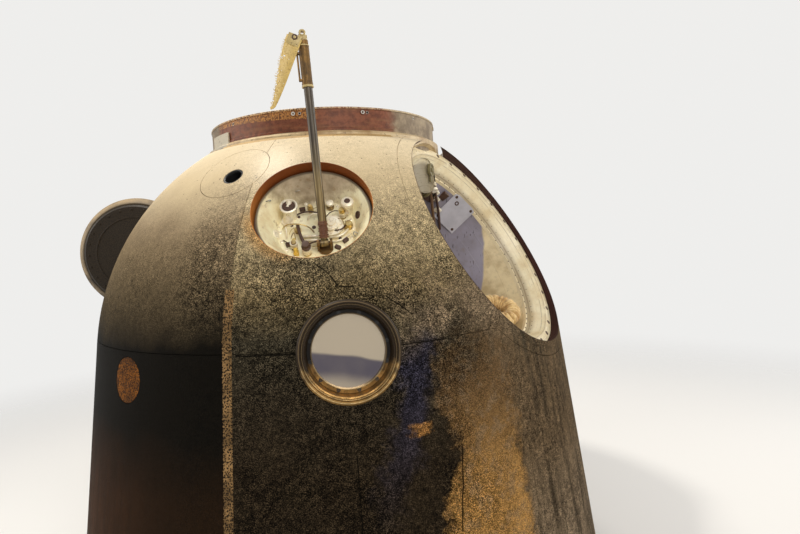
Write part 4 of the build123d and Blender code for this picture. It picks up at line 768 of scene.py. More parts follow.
# Each finish: what makes it, and the material's name, two tones and what else the maker takes
FINISHES = {
    "heat_protection": (heat_protection,),
    "filler": (crumbled, "seam_filler_crumbled", (34, 26, 17), (160, 126, 82), 240.0, (0.52, 0.60)),
    "vent": (crumbled, "vent_plug_burnt", (32, 17, 5), (140, 84, 24), 260.0, (0.52, 0.61)),
    "frame_metal": (aged_paint, "base_frame_scorched", (74, 66, 54), (150, 140, 120), 0.55, (0.62, 0.70), 10.0, 0.9),
    "hull_metal": (worn_metal, "hull_metal_dull", (182, 178, 170), (138, 132, 120), 0.42),
    "engine_metal": (worn_metal, "engine_metal_stained", (156, 150, 142), (74, 62, 52), 0.38, 20.0),
    "ring": (hatch_ring_finish,),
    "cream": (aged_paint, "bay_cream_paint", (238, 222, 184), (150, 134, 106), 0.36, (0.70, 0.76)),
    "cream_step": (step_finish,),
    "seal": (aged_paint, "seal_band_elastic", (180, 148, 96), (110, 78, 44), 0.62, (0.56, 0.70), 26.0),
    "groove": (aged_paint, "groove_burnt", (34, 26, 22), (66, 52, 40), 0.8, (0.66, 0.74), 14.0, 0.0, 0.1),
    "hatch_paint": (aged_paint, "hatch_paint_satin", (184, 187, 176), (142, 140, 132), 0.42),
    "gasket": (aged_paint, "gasket_rubber", (84, 40, 34), (60, 34, 28), 0.6, (0.66, 0.74), 14.0, 0.0, 0.3),
    "steel": (worn_metal, "steel_dull", (190, 188, 182), (132, 126, 116), 0.34),
    "liner": (liner_finish,),
    "flange": (flange_finish,),
    "bracket": (aged_paint, "bracket_olive_paint", (128, 118, 84), (172, 166, 150), 0.40, (0.60, 0.66), 30.0, 0.8),
    "olive": (aged_paint, "pulley_olive_paint", (132, 120, 82), (162, 154, 134), 0.36, (0.64, 0.70), 40.0, 0.6),
    "conduit": (aged_paint, "conduit_brown_paint", (104, 76, 48), (150, 128, 96), 0.42, (0.62, 0.70), 34.0),
    "plate": (aged_paint, "blank_plate_paint", (190, 188, 196), (150, 148, 152), 0.42, (0.70, 0.78)),
    "polished": (turned_metal, "well_turned_metal", (252, 246, 226), (222, 206, 172), 0.24, 0.22),
    "cup": (cup_finish,),
    "brass": (worn_metal, "fittings_brass", (206, 182, 122), (128, 104, 70), 0.28, 30.0),
    "dark_fitting": (aged_paint, "fittings_dark_brown", (74, 50, 38), (120, 98, 72), 0.40, (0.58, 0.68), 60.0, 0.6),
    "yellow_fitting": (aged_paint, "fittings_yellow", (214, 178, 74), (160, 120, 60), 0.40, (0.62, 0.72), 60.0),
    "mast": (mast_finish,),
    "sleeve": (worn_metal, "mast_sleeve_brass", (116, 88, 50), (66, 50, 30), 0.42, 22.0, (14.0, 14.0, 0.8)),
    "cast": (aged_paint, "mast_head_cast_cream", (190, 168, 112), (120, 92, 52), 0.40, (0.56, 0.68), 60.0, 0.4),
    "maroon": (aged_paint, "mast_foot_maroon_wraps", (112, 72, 50), (70, 40, 28), 0.5, (0.5, 0.62), 90.0),
    "blade": (aged_paint, "blade_cream_aged", (212, 182, 108), (140, 104, 54), 0.34, (0.52, 0.70), 40.0),
    "bezel": (window_metal, "window_bezel_heat_stained", (176, 138, 84), (46, 36, 25), 0.30),
    "retainer": (window_metal, "window_retainer_heat_stained", (158, 118, 66), (20, 16, 13), 0.22),
    "bright_ring": (window_metal, "window_bright_ring", (236, 206, 150), (104, 88, 64), 0.20),
    "glass": (glass_with_painted_reflection, "window_glass_coated", (70, 66, 84), (186, 172, 150), 0.75),
    "lens": (glass_with_painted_reflection, "lens_glass_dark", (30, 30, 40), (46, 44, 52), 0.2),
    "fairing": (fairing_finish,),
    "black": (aged_paint, "port_black", (28, 28, 29), (62, 62, 60), 0.30, (0.66, 0.74), 14.0, 0.0, 0.3),
    "couch": (aged_paint, "couch_moulding", (188, 183, 166), (162, 154, 138), 0.55),
    "console": (aged_paint, "console_paint", (158, 168, 166), (124, 130, 126), 0.45),
    "canvas": (canvas, "riser_canvas", (248, 218, 158), (186, 146, 92)),
}


def make_finishes():
    """Every finish by name."""
    made = {}
    for key, (make, *words) in FINISHES.items():
        if words:
            name, tone, second, *rest = words
            words = (name, srgb(*tone), srgb(*second), *rest)
        made[key] = make(*words)
    return made


NODE_FINISH = {
    "antenna_blade": "blade", "antenna_cup": "cup", "band_groove": "groove", "base_frame": "frame_metal",
    "bay_container": "liner", "bay_flange": "flange", "bay_hoses": "conduit", "bay_neck_ring": "cream",
    "blank_plate": "plate", "console": "console", "couches": "couch", "hatch_bracket": "steel",
    "hatch_cover": "hatch_paint", "hatch_handwheel": "steel", "hatch_ring": "ring", "hatch_strap": "steel",
    "landing_engines": "engine_metal", "lower_bulkhead": "hull_metal", "mast_fork": "sleeve", "mast_head": "cast",
    "mast_sleeve": "sleeve", "mast_tube": "mast", "periscope_face": "fairing", "periscope_glass": "lens",
    "periscope_housing": "fairing", "pressure_hull": "hull_metal", "reserve_frame": "frame_metal",
    "ring_step": "cream_step", "riser_bracket": "bracket", "riser_pulley": "olive", "riser_roll": "canvas",
    "seal_band": "seal", "seam_filler": "filler", "side_port": "black", "vent_plugs": "vent",
    "well_connector": "polished", "well_fittings": "brass", "well_plate": "polished", "window_bezels": "bezel",
    "window_panes": "glass", "window_retainers": "retainer",
}


def finish_nodes():
    """Gives each CAD node its finish; the heat protection takes what isn't listed."""
    for name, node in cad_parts.items():
        node.data.materials.clear()
        node.data.materials.append(finishes[NODE_FINISH.get(name, "heat_protection")])


# Mesh making

def piece(name, bm, finish, body="capsule", smooth=True, weld=1e-5):
    """Turns a finished bmesh into a piece that rides on a body."""
    bmesh.ops.remove_doubles(bm, verts=bm.verts, dist=weld)
    bmesh.ops.recalc_face_normals(bm, faces=bm.faces)
    mesh = bpy.data.meshes.new(name)
    bm.to_mesh(mesh)
    bm.free()
    mesh.materials.append(finishes[finish])
    if smooth:
        mesh.shade_smooth()
        mesh.set_sharp_from_angle(angle=math.radians(40))
    made = bpy.data.objects.new(name, mesh)
    bpy.context.scene.collection.objects.link(made)
    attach(made, body)
    return made


def lathe(bm, outline, place, steps=96):
    """Turns a closed outline of (radius, height) points round the Z axis of a frame."""
    verts = [bm.verts.new(place @ Vector((r, 0, h))) for r, h in outline]
    edges = [bm.edges.new((verts[i], verts[(i + 1) % len(verts)])) for i in range(len(verts))]
    axis = place.col[2].to_3d()
    bmesh.ops.spin(bm, geom=verts + edges, cent=place.translation, axis=axis, angle=2 * math.pi,
                   steps=steps, use_merge=True, dvec=(0, 0, 0), use_duplicate=False)


def head(bm, place, radius, height, sides=10):
    """Bolt or rivet head standing on a frame's XY plane, its top edge rounded off."""
    bmesh.ops.create_cone(bm, cap_ends=True, segments=sides, radius1=radius, radius2=radius * 0.72,
                          depth=height, matrix=shifted(place, 0, 0, height / 2))


def edges_of(made):
    """Edges of what an operator made, each once and in the same order every run."""
    return list(dict.fromkeys(e for v in made["verts"] for e in v.link_edges))


def box(bm, place, size, bevel=0.0):
    """Rectangular block centred on a frame, its edges bevelled where a bevel is given."""
    scale = Matrix.Diagonal((*size, 1.0))
    made = bmesh.ops.create_cube(bm, size=1.0, matrix=place @ scale)
    if bevel:
        bmesh.ops.bevel(bm, geom=edges_of(made), offset=bevel, offset_type="OFFSET", affect="EDGES", segments=2,
                        profile=0.5, material=-1)


def on_circle(place, count, radius, z, start=0.0):
    """Frames spaced evenly on a circle round a frame's Z axis."""
    for i in range(count):
        turn = Matrix.Rotation(math.radians(start) + 2 * math.pi * i / count, 4, "Z")
        yield place @ turn @ Matrix.Translation((radius, 0, z))


def pipe_piece(name, paths, finish, body="capsule"):
    """Bent pipes or wires as one mesh, each a smooth line through a few points."""
    curve = bpy.data.curves.new(name, "CURVE")
    curve.dimensions = "3D"
    curve.bevel_depth = 1.0
    curve.bevel_resolution = 3
    curve.resolution_u = 10
    curve.use_fill_caps = True
    for radius, points in paths:
        spline = curve.splines.new("NURBS")
        spline.points.add(len(points) - 1)
        for point, place in zip(spline.points, points):
            point.co = (*place, 1.0)
            point.radius = radius
        spline.order_u = 3
        spline.use_endpoint_u = True
    holder = bpy.data.objects.new(name + "_line", curve)
    mesh = bpy.data.meshes.new_from_object(holder)
    bpy.data.objects.remove(holder)
    bm = bmesh.new()
    bm.from_mesh(mesh)
    bpy.data.meshes.remove(mesh)
    return piece(name, bm, finish, body)


def mm_pipes(name, finish, place, paths):
    """Pipes in a frame, from a radius and points for each, all in millimetres."""
    placed = [(radius / 1000, [place @ (Vector(p) / 1000) for p in points]) for radius, points in paths]
    pipe_piece(name, placed, finish)


def surface_point(azimuth, height, lift=0.0):
    """Point on the capsule's outer surface, and the direction straight out of it."""
    a = math.radians(azimuth)
    round_dir = Vector((math.sin(a), -math.cos(a), 0))
    tilt = math.radians(CONE_ANGLE)
    if height <= DOME_Z + DOME_R * math.sin(tilt):
        r = CONE_BASE_R - height * math.tan(tilt)
        out = round_dir * math.cos(tilt) + Vector((0, 0, math.sin(tilt)))
    else:
        r = math.sqrt(DOME_R ** 2 - (height - DOME_Z) ** 2)
        out = (round_dir * r + Vector((0, 0, height - DOME_Z))).normalized()
    return round_dir * r + Vector((0, 0, height)) + out * lift, out


def on_dome(place, radius, angle, lift=0.0):
    """Frame on the dome's surface, at a radius and an angle round a dome axis, Z straight out of the dome."""
    turn = math.radians(angle)
    k = math.sqrt((DOME_R + lift) ** 2 - radius ** 2)
    point = place @ Vector((radius * math.cos(turn), radius * math.sin(turn), k))
    return facing(point, point - DOME_CENTRE, place.col[1].to_3d())


def bolts(bm, spots, radius, height, washer=0.0):
    """Hexagon heads, each on a washer where one is wanted."""
    for spot in spots:
        if washer:
            head(bm, spot, washer, height * 0.3, 16)
        head(bm, shifted(spot, 0, 0, height * 0.25 if washer else 0), radius, height, 6)


def bead(radius, foot, top, low, high):
    """Outline of a raised ring, twice foot wide below and twice top wide above."""
    return [(radius - foot, low), (radius + foot, low), (radius + top, high), (radius - top, high)]


def mm(*points):
    """Outline for the lathe from (radius, height) pairs in millimetres."""
    return [(r / 1000, h / 1000) for r, h in points]


def band(r_in, r_out, low, high):
    """Outline of a plain ring for the lathe."""
    return [(r_in, low), (r_out, low), (r_out, high), (r_in, high)]


# Heat protection

def make_seam_filler():
    """Crumbled filler in the upright seam: a thick strip with a broken, granular face and ragged edges."""
    across, along = 14, 460
    low, high = FRAME_TOP_Z, FILLER_TOP_Z
    bm = bmesh.new()
    bmesh.ops.create_grid(bm, x_segments=across, y_segments=along, size=0.5)
    for v in bm.verts:
        u, w = v.co.x, v.co.y + 0.5
        height = low + (high - low) * w
        base_r = math.hypot(*surface_point(FILLER_AZ, height)[0].xy)
        ragged = noise.noise(Vector((u * 3, height * 60, 4.0))) * 0.0025 * abs(u) * 2
        azimuth = FILLER_AZ + math.degrees((u * FILLER_W + math.copysign(ragged, u)) / base_r)
        rough = noise.noise(Vector((u * 9, height * 330, 1.0)))
        rough += 0.6 * noise.noise(Vector((u * 22, height * 800, 7.0)))
        lift = 0.0006 + 0.0026 * rough - 0.0015 * (2 * abs(u)) ** 4
        v.co = surface_point(azimuth, height, lift)[0]
    rim = [e for e in bm.edges if e.is_boundary]
    walls = bmesh.ops.extrude_edge_only(bm, edges=rim)["geom"]
    for v in [g for g in walls if isinstance(g, bmesh.types.BMVert)]:
        v.co -= Vector((v.co.x, v.co.y, 0)).normalized() * 0.012
    strip = piece("seam_filler_strip", bm, "filler")
    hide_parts("seam_filler")


def make_port_details():
    """Mouth ring of the small port, with four screws, and the lens in it."""
    port = aim(*PORT_AIM)
    mouth, lens = bmesh.new(), bmesh.new()
    lathe(mouth, mm((28.5, 970), (36.2, 970), (36.2, 977), (34, 979.2), (30.2, 977.5)), port, 64)
    for spot in on_circle(port, 4, 0.0336, 0.9782, start=20):
        head(mouth, spot, 0.0016, 0.0012, 10)
    piece("port_mouth_ring", mouth, "black")
    lathe(lens, mm((0, 946.2), (13.5, 946.2), (14.2, 947.8), (10.5, 951.2), (5.5, 952.8), (0, 953.2)), port, 48)
    piece("port_lens", lens, "lens")


def make_reserve_details():
    """Bolts round the reserve lid's frame, on its lugs and between them."""
    bm = bmesh.new()
    place = aim(*RESERVE_AIM)
    bolts(bm, [on_dome(place, LID_FRAME_R, 45 * i, 0.008) for i in range(8)], 0.0042, 0.0040, 0.0062)
    bolts(bm, [on_dome(place, LID_FRAME_R, 45 * i + a) for i in range(8) for a in (15, 30)], 0.0050, 0.0035, 0.0075)
    piece("reserve_lid_bolts", bm, "steel")


# Hatch frame and hatch

def make_ring_details():
    """Knurled top edge, boss caps, rims and floors of the side holes, seals and bolts of the hatch frame."""
    bm = bmesh.new()
    for i in range(300):
        place = around(1.2 * i, RING_R - 0.0026, RING_TOP_Z - 0.0034)
        box(bm, place, (0.0056, 0.0062, 0.0056), 0.0010)
    piece("ring_knurled_edge", bm, "ring")

    bosses, holes = bmesh.new(), bmesh.new()
    for azimuth in BOSS_AZIMUTHS:
        place = around(azimuth, RING_SIDE_R + 0.0036, BOSS_Z)
        lathe(bosses, mm((3, 0), (7.8, 0), (7.2, 1.2), (4.2, 1.2), (3.4, 0.6)), place, 20)
        head(holes, shifted(place, 0, 0, -0.0002), 0.0030, 0.0008, 14)
    for azimuth in SIDE_HOLE_AZIMUTHS:
        place = around(azimuth, RING_SIDE_R, BOSS_Z)
        lathe(bosses, mm((3.7, -1), (5.4, -1), (5.1, 0.7), (3.9, 0.7)), place, 18)
        head(holes, shifted(place, 0, 0, -0.0060), 0.0037, 0.0005, 14)
    piece("ring_boss_caps", bosses, "steel")
    piece("ring_side_holes", holes, "groove")

    seals, studs = bmesh.new(), bmesh.new()
    for radius in (0.462, 0.420):
        lathe(seals, bead(radius, 0.004, 0.003, RING_TOP_Z - 0.001, RING_TOP_Z + 0.0022), UPRIGHT, 180)
    piece("ring_top_seals", seals, "gasket")
    bolts(studs, on_circle(UPRIGHT, 24, 0.442, RING_TOP_Z, start=7.5), 0.0050, 0.0045, 0.0072)
    bolts(studs, on_circle(UPRIGHT, 36, 0.321, HATCH_TOP_Z + 0.0143, start=5), 0.0040, 0.0035)
    piece("ring_top_bolts", studs, "steel")


def make_hatch_details():
    """Top of the hatch: a weld bead, a ring of bolts, the pressure valve and the key socket."""
    metal, dark = bmesh.new(), bmesh.new()
    lathe(metal, bead(0.240, 0.004, 0.002, HATCH_TOP_Z, HATCH_TOP_Z + 0.0022), UPRIGHT, 120)
    bolts(metal, on_circle(UPRIGHT, 24, 0.285, HATCH_TOP_Z), 0.0055, 0.0050, 0.0080)
    valve = shifted(UPRIGHT, 0.135, 0.075, HATCH_TOP_Z)
    lathe(metal, mm((0, 0), (34, 0), (34, 5), (24, 7), (22, 22), (15, 26), (0, 26)), valve, 40)
    bolts(metal, on_circle(valve, 6, 0.029, 0.0055), 0.0026, 0.0025)
    lathe(metal, mm((14, 8.8), (30, 8.8), (28, 15), (16, 15)), shifted(UPRIGHT, 0, 0, HATCH_TOP_Z), 40)
    piece("hatch_top_fittings", metal, "steel", "hatch")
    head(dark, shifted(UPRIGHT, 0, 0, HATCH_TOP_Z + 0.0085), 0.0142, 0.0015, 6)
    piece("hatch_key_socket", dark, "groove", "hatch")


# Windows and periscope

def make_window_details():
    """Screws and bright rings of the pane retainers, and the wound wire in each bezel's groove."""
    screws, slots, wires, rings = bmesh.new(), bmesh.new(), bmesh.new(), bmesh.new()
    for window in WINDOW_AIMS:
        place = aim(*window)
        for spot in on_circle(place, 12, RETAINER_R, RETAINER_K, start=11):
            lathe(slots, band(0.0036, 0.0060, -0.0005, 0.0004), spot, 16)
            head(slots, spot, 0.0034, 0.0010, 14)
            box(screws, shifted(spot, 0, 0, 0.0009), (0.0050, 0.0009, 0.0006))
        for spot in on_circle(place, 210, WIRE_GROOVE_R, WIRE_GROOVE_K):
            bmesh.ops.create_icosphere(wires, subdivisions=1, radius=0.0020, matrix=spot)
        lathe(rings, mm((108.8, 926.2), (111, 926.2), (112.4, 942.4), (111.2, 943.6), (109.6, 942.4)), place, 120)
        lathe(rings, bead(0.1454, 0.0016, 0.0008, 0.9836, 0.9852), place, 160)
        bolts(screws, on_circle(place, 24, BEZEL_BOLTS_R, BEZEL_BOLTS_K, start=4), 0.0019, 0.0016)
    piece("window_screws", screws, "retainer")
    piece("window_screw_slots", slots, "black", smooth=False)
    piece("window_wound_wires", wires, "bright_ring")
    piece("window_bright_rings", rings, "bright_ring")


def make_periscope_details():
    """Screws round both ends of the periscope housing and two raised rims on its face plate."""
    screws, rims = bmesh.new(), bmesh.new()
    front = facing(Vector(SCOPE_PLACE) + Vector((0, -0.0003, 0)), (0, -1, 0))
    back = facing(Vector((SCOPE_PLACE[0], SCOPE_BACK_Y, SCOPE_PLACE[2])), (0, 1, 0))
    for place, radius in ((front, 0.182), (back, 0.190)):
        for spot in on_circle(place, 24, radius, 0.0):
            if (spot.translation - DOME_CENTRE).length > DOME_R + 0.012:
                head(screws, spot, 0.0052, 0.0024, 14)
                box(screws, shifted(spot, 0, 0, 0.0024), (0.0066, 0.0010, 0.0006))
    for radius in (0.060, 0.150):
        lathe(rims, bead(radius, 0.004, 0.002, 0.0, 0.0020), shifted(front, 0 if radius > 0.1 else 0.09, 0), 90)
    outside = [v for v in rims.verts if (v.co - DOME_CENTRE).length > DOME_R + 0.004]
    keep = {f for v in outside for f in v.link_faces if all(w in set(outside) for w in f.verts)}
    bmesh.ops.delete(rims, geom=[f for f in rims.faces if f not in keep], context="FACES")
    bmesh.ops.holes_fill(rims, edges=[e for e in rims.edges if e.is_boundary], sides=0)
    piece("periscope_screws", screws, "fairing")
    piece("periscope_face_rims", rims, "fairing")


# Parachute bay

def round_the_mouth(count, radius, k):
    """Frames round the bay's mouth, left out where the top ring takes their place."""
    return [spot for spot in on_circle(BAY, count, radius, k) if spot.translation.xy.length > RING_R + 0.012]


def make_bay_rims():
    """Rivets and hole rims round the bay's mouth, dark partly as painted shade, and weld beads on its liner."""
    rivets, rims, beads = bmesh.new(), bmesh.new(), bmesh.new()
    # The rivets are dark partly as painted shade
    for spot in round_the_mouth(64, BAY_NECK_R - 0.0042, BAY_NECK_K - 0.0005):
        head(rivets, spot, 0.0034, 0.0022, 12)
    for spot in round_the_mouth(72, BAY_NECK_R + 0.0085, BAY_NECK_K + 0.0190):
        towards = BAY.translation + BAY.col[2].to_3d() * 1.05 - spot.translation
        head(rivets, facing(spot.translation, towards), 0.0020, 0.0014, 8)
    piece("bay_rivets", rivets, "dark_fitting")
    # Painted shade: each rim is closed by a dark disc over its hole
    for spot in round_the_mouth(28, BAY_FLANGE_HOLES_R, BAY_FLANGE_K):
        lathe(rims, mm((0, -1), (8.8, -1), (8.4, 1.4), (6.6, 1.4), (6.2, 0.6), (0, 0.6)), spot, 18)
    piece("bay_hole_rims", rims, "dark_fitting")
    for depth in (0.062, 0.128):
        k, r = liner_place(depth)
        lathe(beads, [(r - 0.0014, k), (r, k - 0.0026), (r + 0.0012, k), (r, k + 0.0026)], BAY, 140)
    piece("bay_liner_beads", beads, "liner")


def make_bay_skirt():
    """Sheet between the top ring and the bay's liner, with a row of bolts."""
    skirt, studs = bmesh.new(), bmesh.new()
    out = BAY.col[2].to_3d()
    bmesh.ops.create_grid(skirt, x_segments=56, y_segments=8, size=0.5)
    for v in skirt.verts:
        azimuth = math.radians(BAY_AIM[0] + SKIRT_SPAN * v.co.x)
        x, y = SKIRT_R * math.sin(azimuth), -SKIRT_R * math.cos(azimuth)
        low = (LINER_TOP_K - 0.004 - (Vector((x, y, 0)) - Vector((*BAY.translation.xy, 0))).dot(out)) / out.z + DOME_Z
        low = min(low, SKIRT_LOW_Z)
        v.co = Vector((x, y, low + (v.co.y + 0.5) * (SKIRT_TOP_Z - low)))
    bmesh.ops.solidify(skirt, geom=list(skirt.faces), thickness=0.003)
    piece("bay_ring_skirt", skirt, "flange", weld=1e-6)
    for i in range(9):
        head(studs, around(BAY_AIM[0] - 24 + 6 * i, SKIRT_R + 0.0017, SKIRT_BOLT_Z), 0.0042, 0.0030, 12)
    piece("bay_skirt_bolts", studs, "dark_fitting")


def make_bay_clips():
    """Clips, boxes, a round bracket and two pipes in the bay's upper left."""
    pale, dark, olive = bmesh.new(), bmesh.new(), bmesh.new()
    for angle, depth, size in ((65, 0.046, (0.044, 0.022, 0.020)), (60, 0.070, (0.038, 0.024, 0.018)),
                               (52, 0.104, (0.032, 0.026, 0.016))):
        clip = shifted(wall_frame(angle, depth), 0, 0, size[2] / 2 - 0.004)
        box(pale, clip, size, 0.0025)
        bolts(pale, [shifted(clip, x, 0, size[2] / 2) for x in (-size[0] * 0.34, size[0] * 0.34)], 0.0036, 0.0030)
    lathe(pale, mm((0, 0), (18, 0), (18, 10), (12, 13), (12, 30), (15, 33), (13, 42), (0, 43)),
          shifted(wall_frame(70, 0.030), 0, 0, -0.004), 32)
    box(dark, shifted(wall_frame(67, 0.080), 0, 0, 0.008), (0.050, 0.034, 0.024), 0.003)
    box(dark, shifted(wall_frame(56, 0.040), 0, 0, 0.006), (0.030, 0.040, 0.018), 0.003)
    disc = around(PULLEY_BOSS[0], SKIRT_R + 0.0037, PULLEY_BOSS[1])
    lathe(olive, mm((0, 0), (27, 0), (27, 12), (21, 12), (19, 8), (9, 8), (8, 16), (0, 17)), disc, 40)
    lathe(olive, mm((0, -6), (12, -6), (12, 1), (0, 1)), disc, 20)
    box(olive, shifted(disc, 0.0, -0.030, 0.004), (0.018, 0.044, 0.010), 0.003)
    piece("bay_pale_clips", pale, "polished")
    piece("bay_dark_boxes", dark, "dark_fitting")
    piece("bay_round_bracket", olive, "bracket")
    mm_pipes("bay_left_tube", "conduit", BAY, (
        (6.8, ((90, 352, 728), (112, 336, 704), (160, 302, 664), (196, 264, 624), (226, 222, 590))),
    ))
    mm_pipes("bay_dark_tube", "dark_fitting", BAY, (
        (5.6, ((118, 345, 732), (150, 322, 704), (196, 286, 668), (230, 246, 630), (252, 206, 596))),
    ))


def make_bay_fixings():
    """Screws and grommet of the blank plate, nuts of the riser's pulley and collars of the pipes."""
    plate = shifted(turned(wall_frame(*PLATE_SPOT), -WALL_LEAN, "X"), 0, 0, 0.00997)
    fixings = bmesh.new()
    corners = [shifted(plate, x, y) for x in (-0.050, 0.050) for y in (-0.060, 0.060)]
    bolts(fixings, corners, 0.0042, 0.0030, 0.0070)
    lathe(fixings, mm((5, -0.5), (10.5, -0.5), (9.8, 1.6), (7.4, 2.4), (5.4, 1.4)), shifted(plate, -0.028, 0.040), 32)
    piece("plate_fixings", fixings, "dark_fitting")

    seat = wall_frame(*PULLEY_SPOT)
    nuts = bmesh.new()
    for side in (-1, 1):
        out = seat.to_3x3() @ Vector((side, 0, 0))
        axle = facing(seat @ Vector((side * 0.0212, 0, 0.046)), out, seat.col[2].to_3d())
        bolts(nuts, [axle], 0.0085, 0.0055, 0.0120)
        bolts(nuts, [shifted(seat, side * 0.031, y, 0.0120) for y in (-0.022, 0.022)], 0.0045, 0.0040, 0.0065)
    piece("pulley_nuts", nuts, "steel")

    collars = bmesh.new()
    for x, radius in ((-0.052, 0.011), (-0.082, 0.008), (-0.108, 0.012)):
        for y in (0.372, 0.352):
            mouth = facing(BAY @ Vector((x, y, 0.7213)), -BAY.col[1].to_3d(), BAY.col[2].to_3d())
            lathe(collars, band(radius - 0.0005, radius + 0.0032, -0.004, 0.004), mouth, 24)
    piece("conduit_collars", collars, "brass")


def puffed(bm, name, voxel, swell):
    """Even skin over a closed form, blown up a little by a short cloth run, no point further than swell."""
    def baked(holder):
        return bpy.data.meshes.new_from_object(holder.evaluated_get(bpy.context.evaluated_depsgraph_get()))

    scene = bpy.context.scene
    mesh = bpy.data.meshes.new(name)
    bm.to_mesh(mesh)
    bm.free()
    holder = bpy.data.objects.new(name, mesh)
    scene.collection.objects.link(holder)
    remesh = holder.modifiers.new("even_skin", "REMESH")
    remesh.mode = "VOXEL"
    remesh.voxel_size = voxel
    even = baked(holder)
    holder.modifiers.clear()
    holder.data = even
    bpy.data.meshes.remove(mesh)
    result = bmesh.new()
    result.from_mesh(even)
    cloth = holder.modifiers.new("cloth", "CLOTH")
    cloth.settings.quality = 5
    cloth.settings.use_pressure = True
    cloth.settings.uniform_pressure_force = 4.0
    cloth.settings.effector_weights.gravity = 0.0
    for step in range(1, 21):
        scene.frame_set(step)
    blown = baked(holder)
    for v, moved in zip(result.verts, blown.vertices):
        shift = moved.co - v.co
        v.co += shift * min(1.0, swell / max(shift.length, 1e-9))
    bpy.data.meshes.remove(blown)
    scene.frame_set(1)
    bpy.data.objects.remove(holder)
    bpy.data.meshes.remove(even)
    return result


def make_riser_roll():
    """Gathered canvas ring in the bay's foot: a fat soft tube, puffed up, then pleated across."""
    place = turned(shifted(wall_frame(*ROLL_SPOT), 0, 0, 0.0760), -45, "X")
    ring_r, tube_r = 0.070, 0.0315
    bm = bmesh.new()
    lift = turned(shifted(UPRIGHT, ring_r, 0), 90, "X")
    made = bmesh.ops.create_circle(bm, cap_ends=False, segments=28, radius=tube_r, matrix=lift)
    bmesh.ops.spin(bm, geom=made["verts"] + edges_of(made), cent=(0, 0, 0), axis=(0, 0, 1), angle=2 * math.pi,
                   steps=88, use_merge=True, dvec=(0, 0, 0), use_duplicate=False)
    bmesh.ops.remove_doubles(bm, verts=bm.verts, dist=1e-5)
    bmesh.ops.recalc_face_normals(bm, faces=bm.faces)
    skin = puffed(bm, "riser_roll_start", 0.0042, 0.0050)
    bmesh.ops.subdivide_edges(skin, edges=skin.edges, cuts=1, use_grid_fill=True)
    bmesh.ops.smooth_vert(skin, verts=skin.verts, factor=0.5, use_axis_x=True, use_axis_y=True, use_axis_z=True)
    for v in skin.verts:
        round_angle = math.atan2(v.co.y, v.co.x)
        middle = Vector((math.cos(round_angle), math.sin(round_angle), 0)) * ring_r
        out = (v.co - middle).normalized()
        wander = noise.noise(Vector((math.cos(round_angle) * 2, math.sin(round_angle) * 2, v.co.z * 30))) * 1.4
        pleat = abs(math.sin(11.0 * round_angle + wander + 12 * v.co.z)) ** 0.6
        crease = noise.noise(v.co * 60) * 0.0012 + noise.noise(v.co * 170) * 0.0006
        v.co += out * (0.0078 * (pleat - 0.78) + crease)
        v.co = place @ v.co
    roll = piece("riser_roll_canvas", skin, "canvas")
    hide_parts("riser_roll")


# Antenna well, mast and blade

def on_floor(x, y, z=0.0):
    """Frame over the well's floor: X to the right, Y up."""
    return shifted(WELL_FLOOR, x, y, z)


def slope(x, y):
    """Frame on the cup's sloping wall, Z square to it."""
    r = math.hypot(x, y)
    rise, run = CUP_RIM_K - WELL_FLOOR_K, CUP_RIM_R - WELL_FLOOR_R
    point = WELL_FLOOR @ Vector((x, y, (r - WELL_FLOOR_R) * rise / run))
    out = WELL.to_3x3() @ Vector((-x / r * rise, -y / r * rise, run))
    return facing(point, out, WELL.col[1].to_3d())


def well_mouths():
    """Frames of the open cup and of the flared connector, left and right above the well's floor."""
    return on_floor(-0.0865, 0.0640), on_floor(0.1080, 0.0640, -0.002)


def make_well_metal():
    """Bright bolts, turret, discs and connectors of the antenna well, on its floor and its sloping wall."""
    steel = bmesh.new()
    open_cup, flared = well_mouths()
    bolts(steel, on_circle(WELL_FLOOR, 20, 0.1215, 0.0), 0.0040, 0.0040, 0.0062)
    turret = on_floor(0.0500, 0.0080, 0.0140)
    bolts(steel, on_circle(turret, 8, 0.0350, 0.0), 0.0034, 0.0036, 0.0050)
    cap = shifted(turret, 0, 0, 0.0120)
    lathe(steel, mm((0, 0), (25, 0), (24.5, 3), (17, 4), (16, 7.5), (10, 8.5), (0, 8.5)), cap, 48)
    lathe(steel, mm((0, 0), (13, 0), (12.5, 8), (7, 11), (0, 11.5)), on_floor(0.047, 0.095, 0.018), 32)
    lathe(steel, mm((0, 0), (17, 0), (16, 4), (11, 5), (0, 5)), slope(-0.132, -0.010), 32)
    for x, y, radius in ((-0.0710, -0.0660, 0.0125), (-0.0290, -0.0910, 0.0155), (0.0880, 0.0500, 0.0135)):
        for level in (0.010, 0.018, 0.025):
            lathe(steel, band(radius - 0.0035, radius, level, level + 0.0035), on_floor(x, y), 24)
    right_plug = turned(slope(0.1140, 0.0780), 24, "X")
    lathe(steel, mm((0, 0), (16, 0), (16, 6), (11.5, 8.5), (11.5, 24), (14, 26), (14, 33), (10, 36), (0, 37)),
          right_plug, 36)
    lathe(steel, mm((0, 0), (21.5, 0), (22.5, 18), (25, 44), (29, 52), (29.5, 58), (24.5, 60), (21.5, 56),
                    (20.5, 42), (0, 41)), open_cup, 44)
    lathe(steel, mm((0, 0), (11, 0), (15, 20), (20.5, 56), (22.5, 60), (20, 66), (12, 69), (0, 69)), flared, 40)
    piece("well_bright_fittings", steel, "polished")


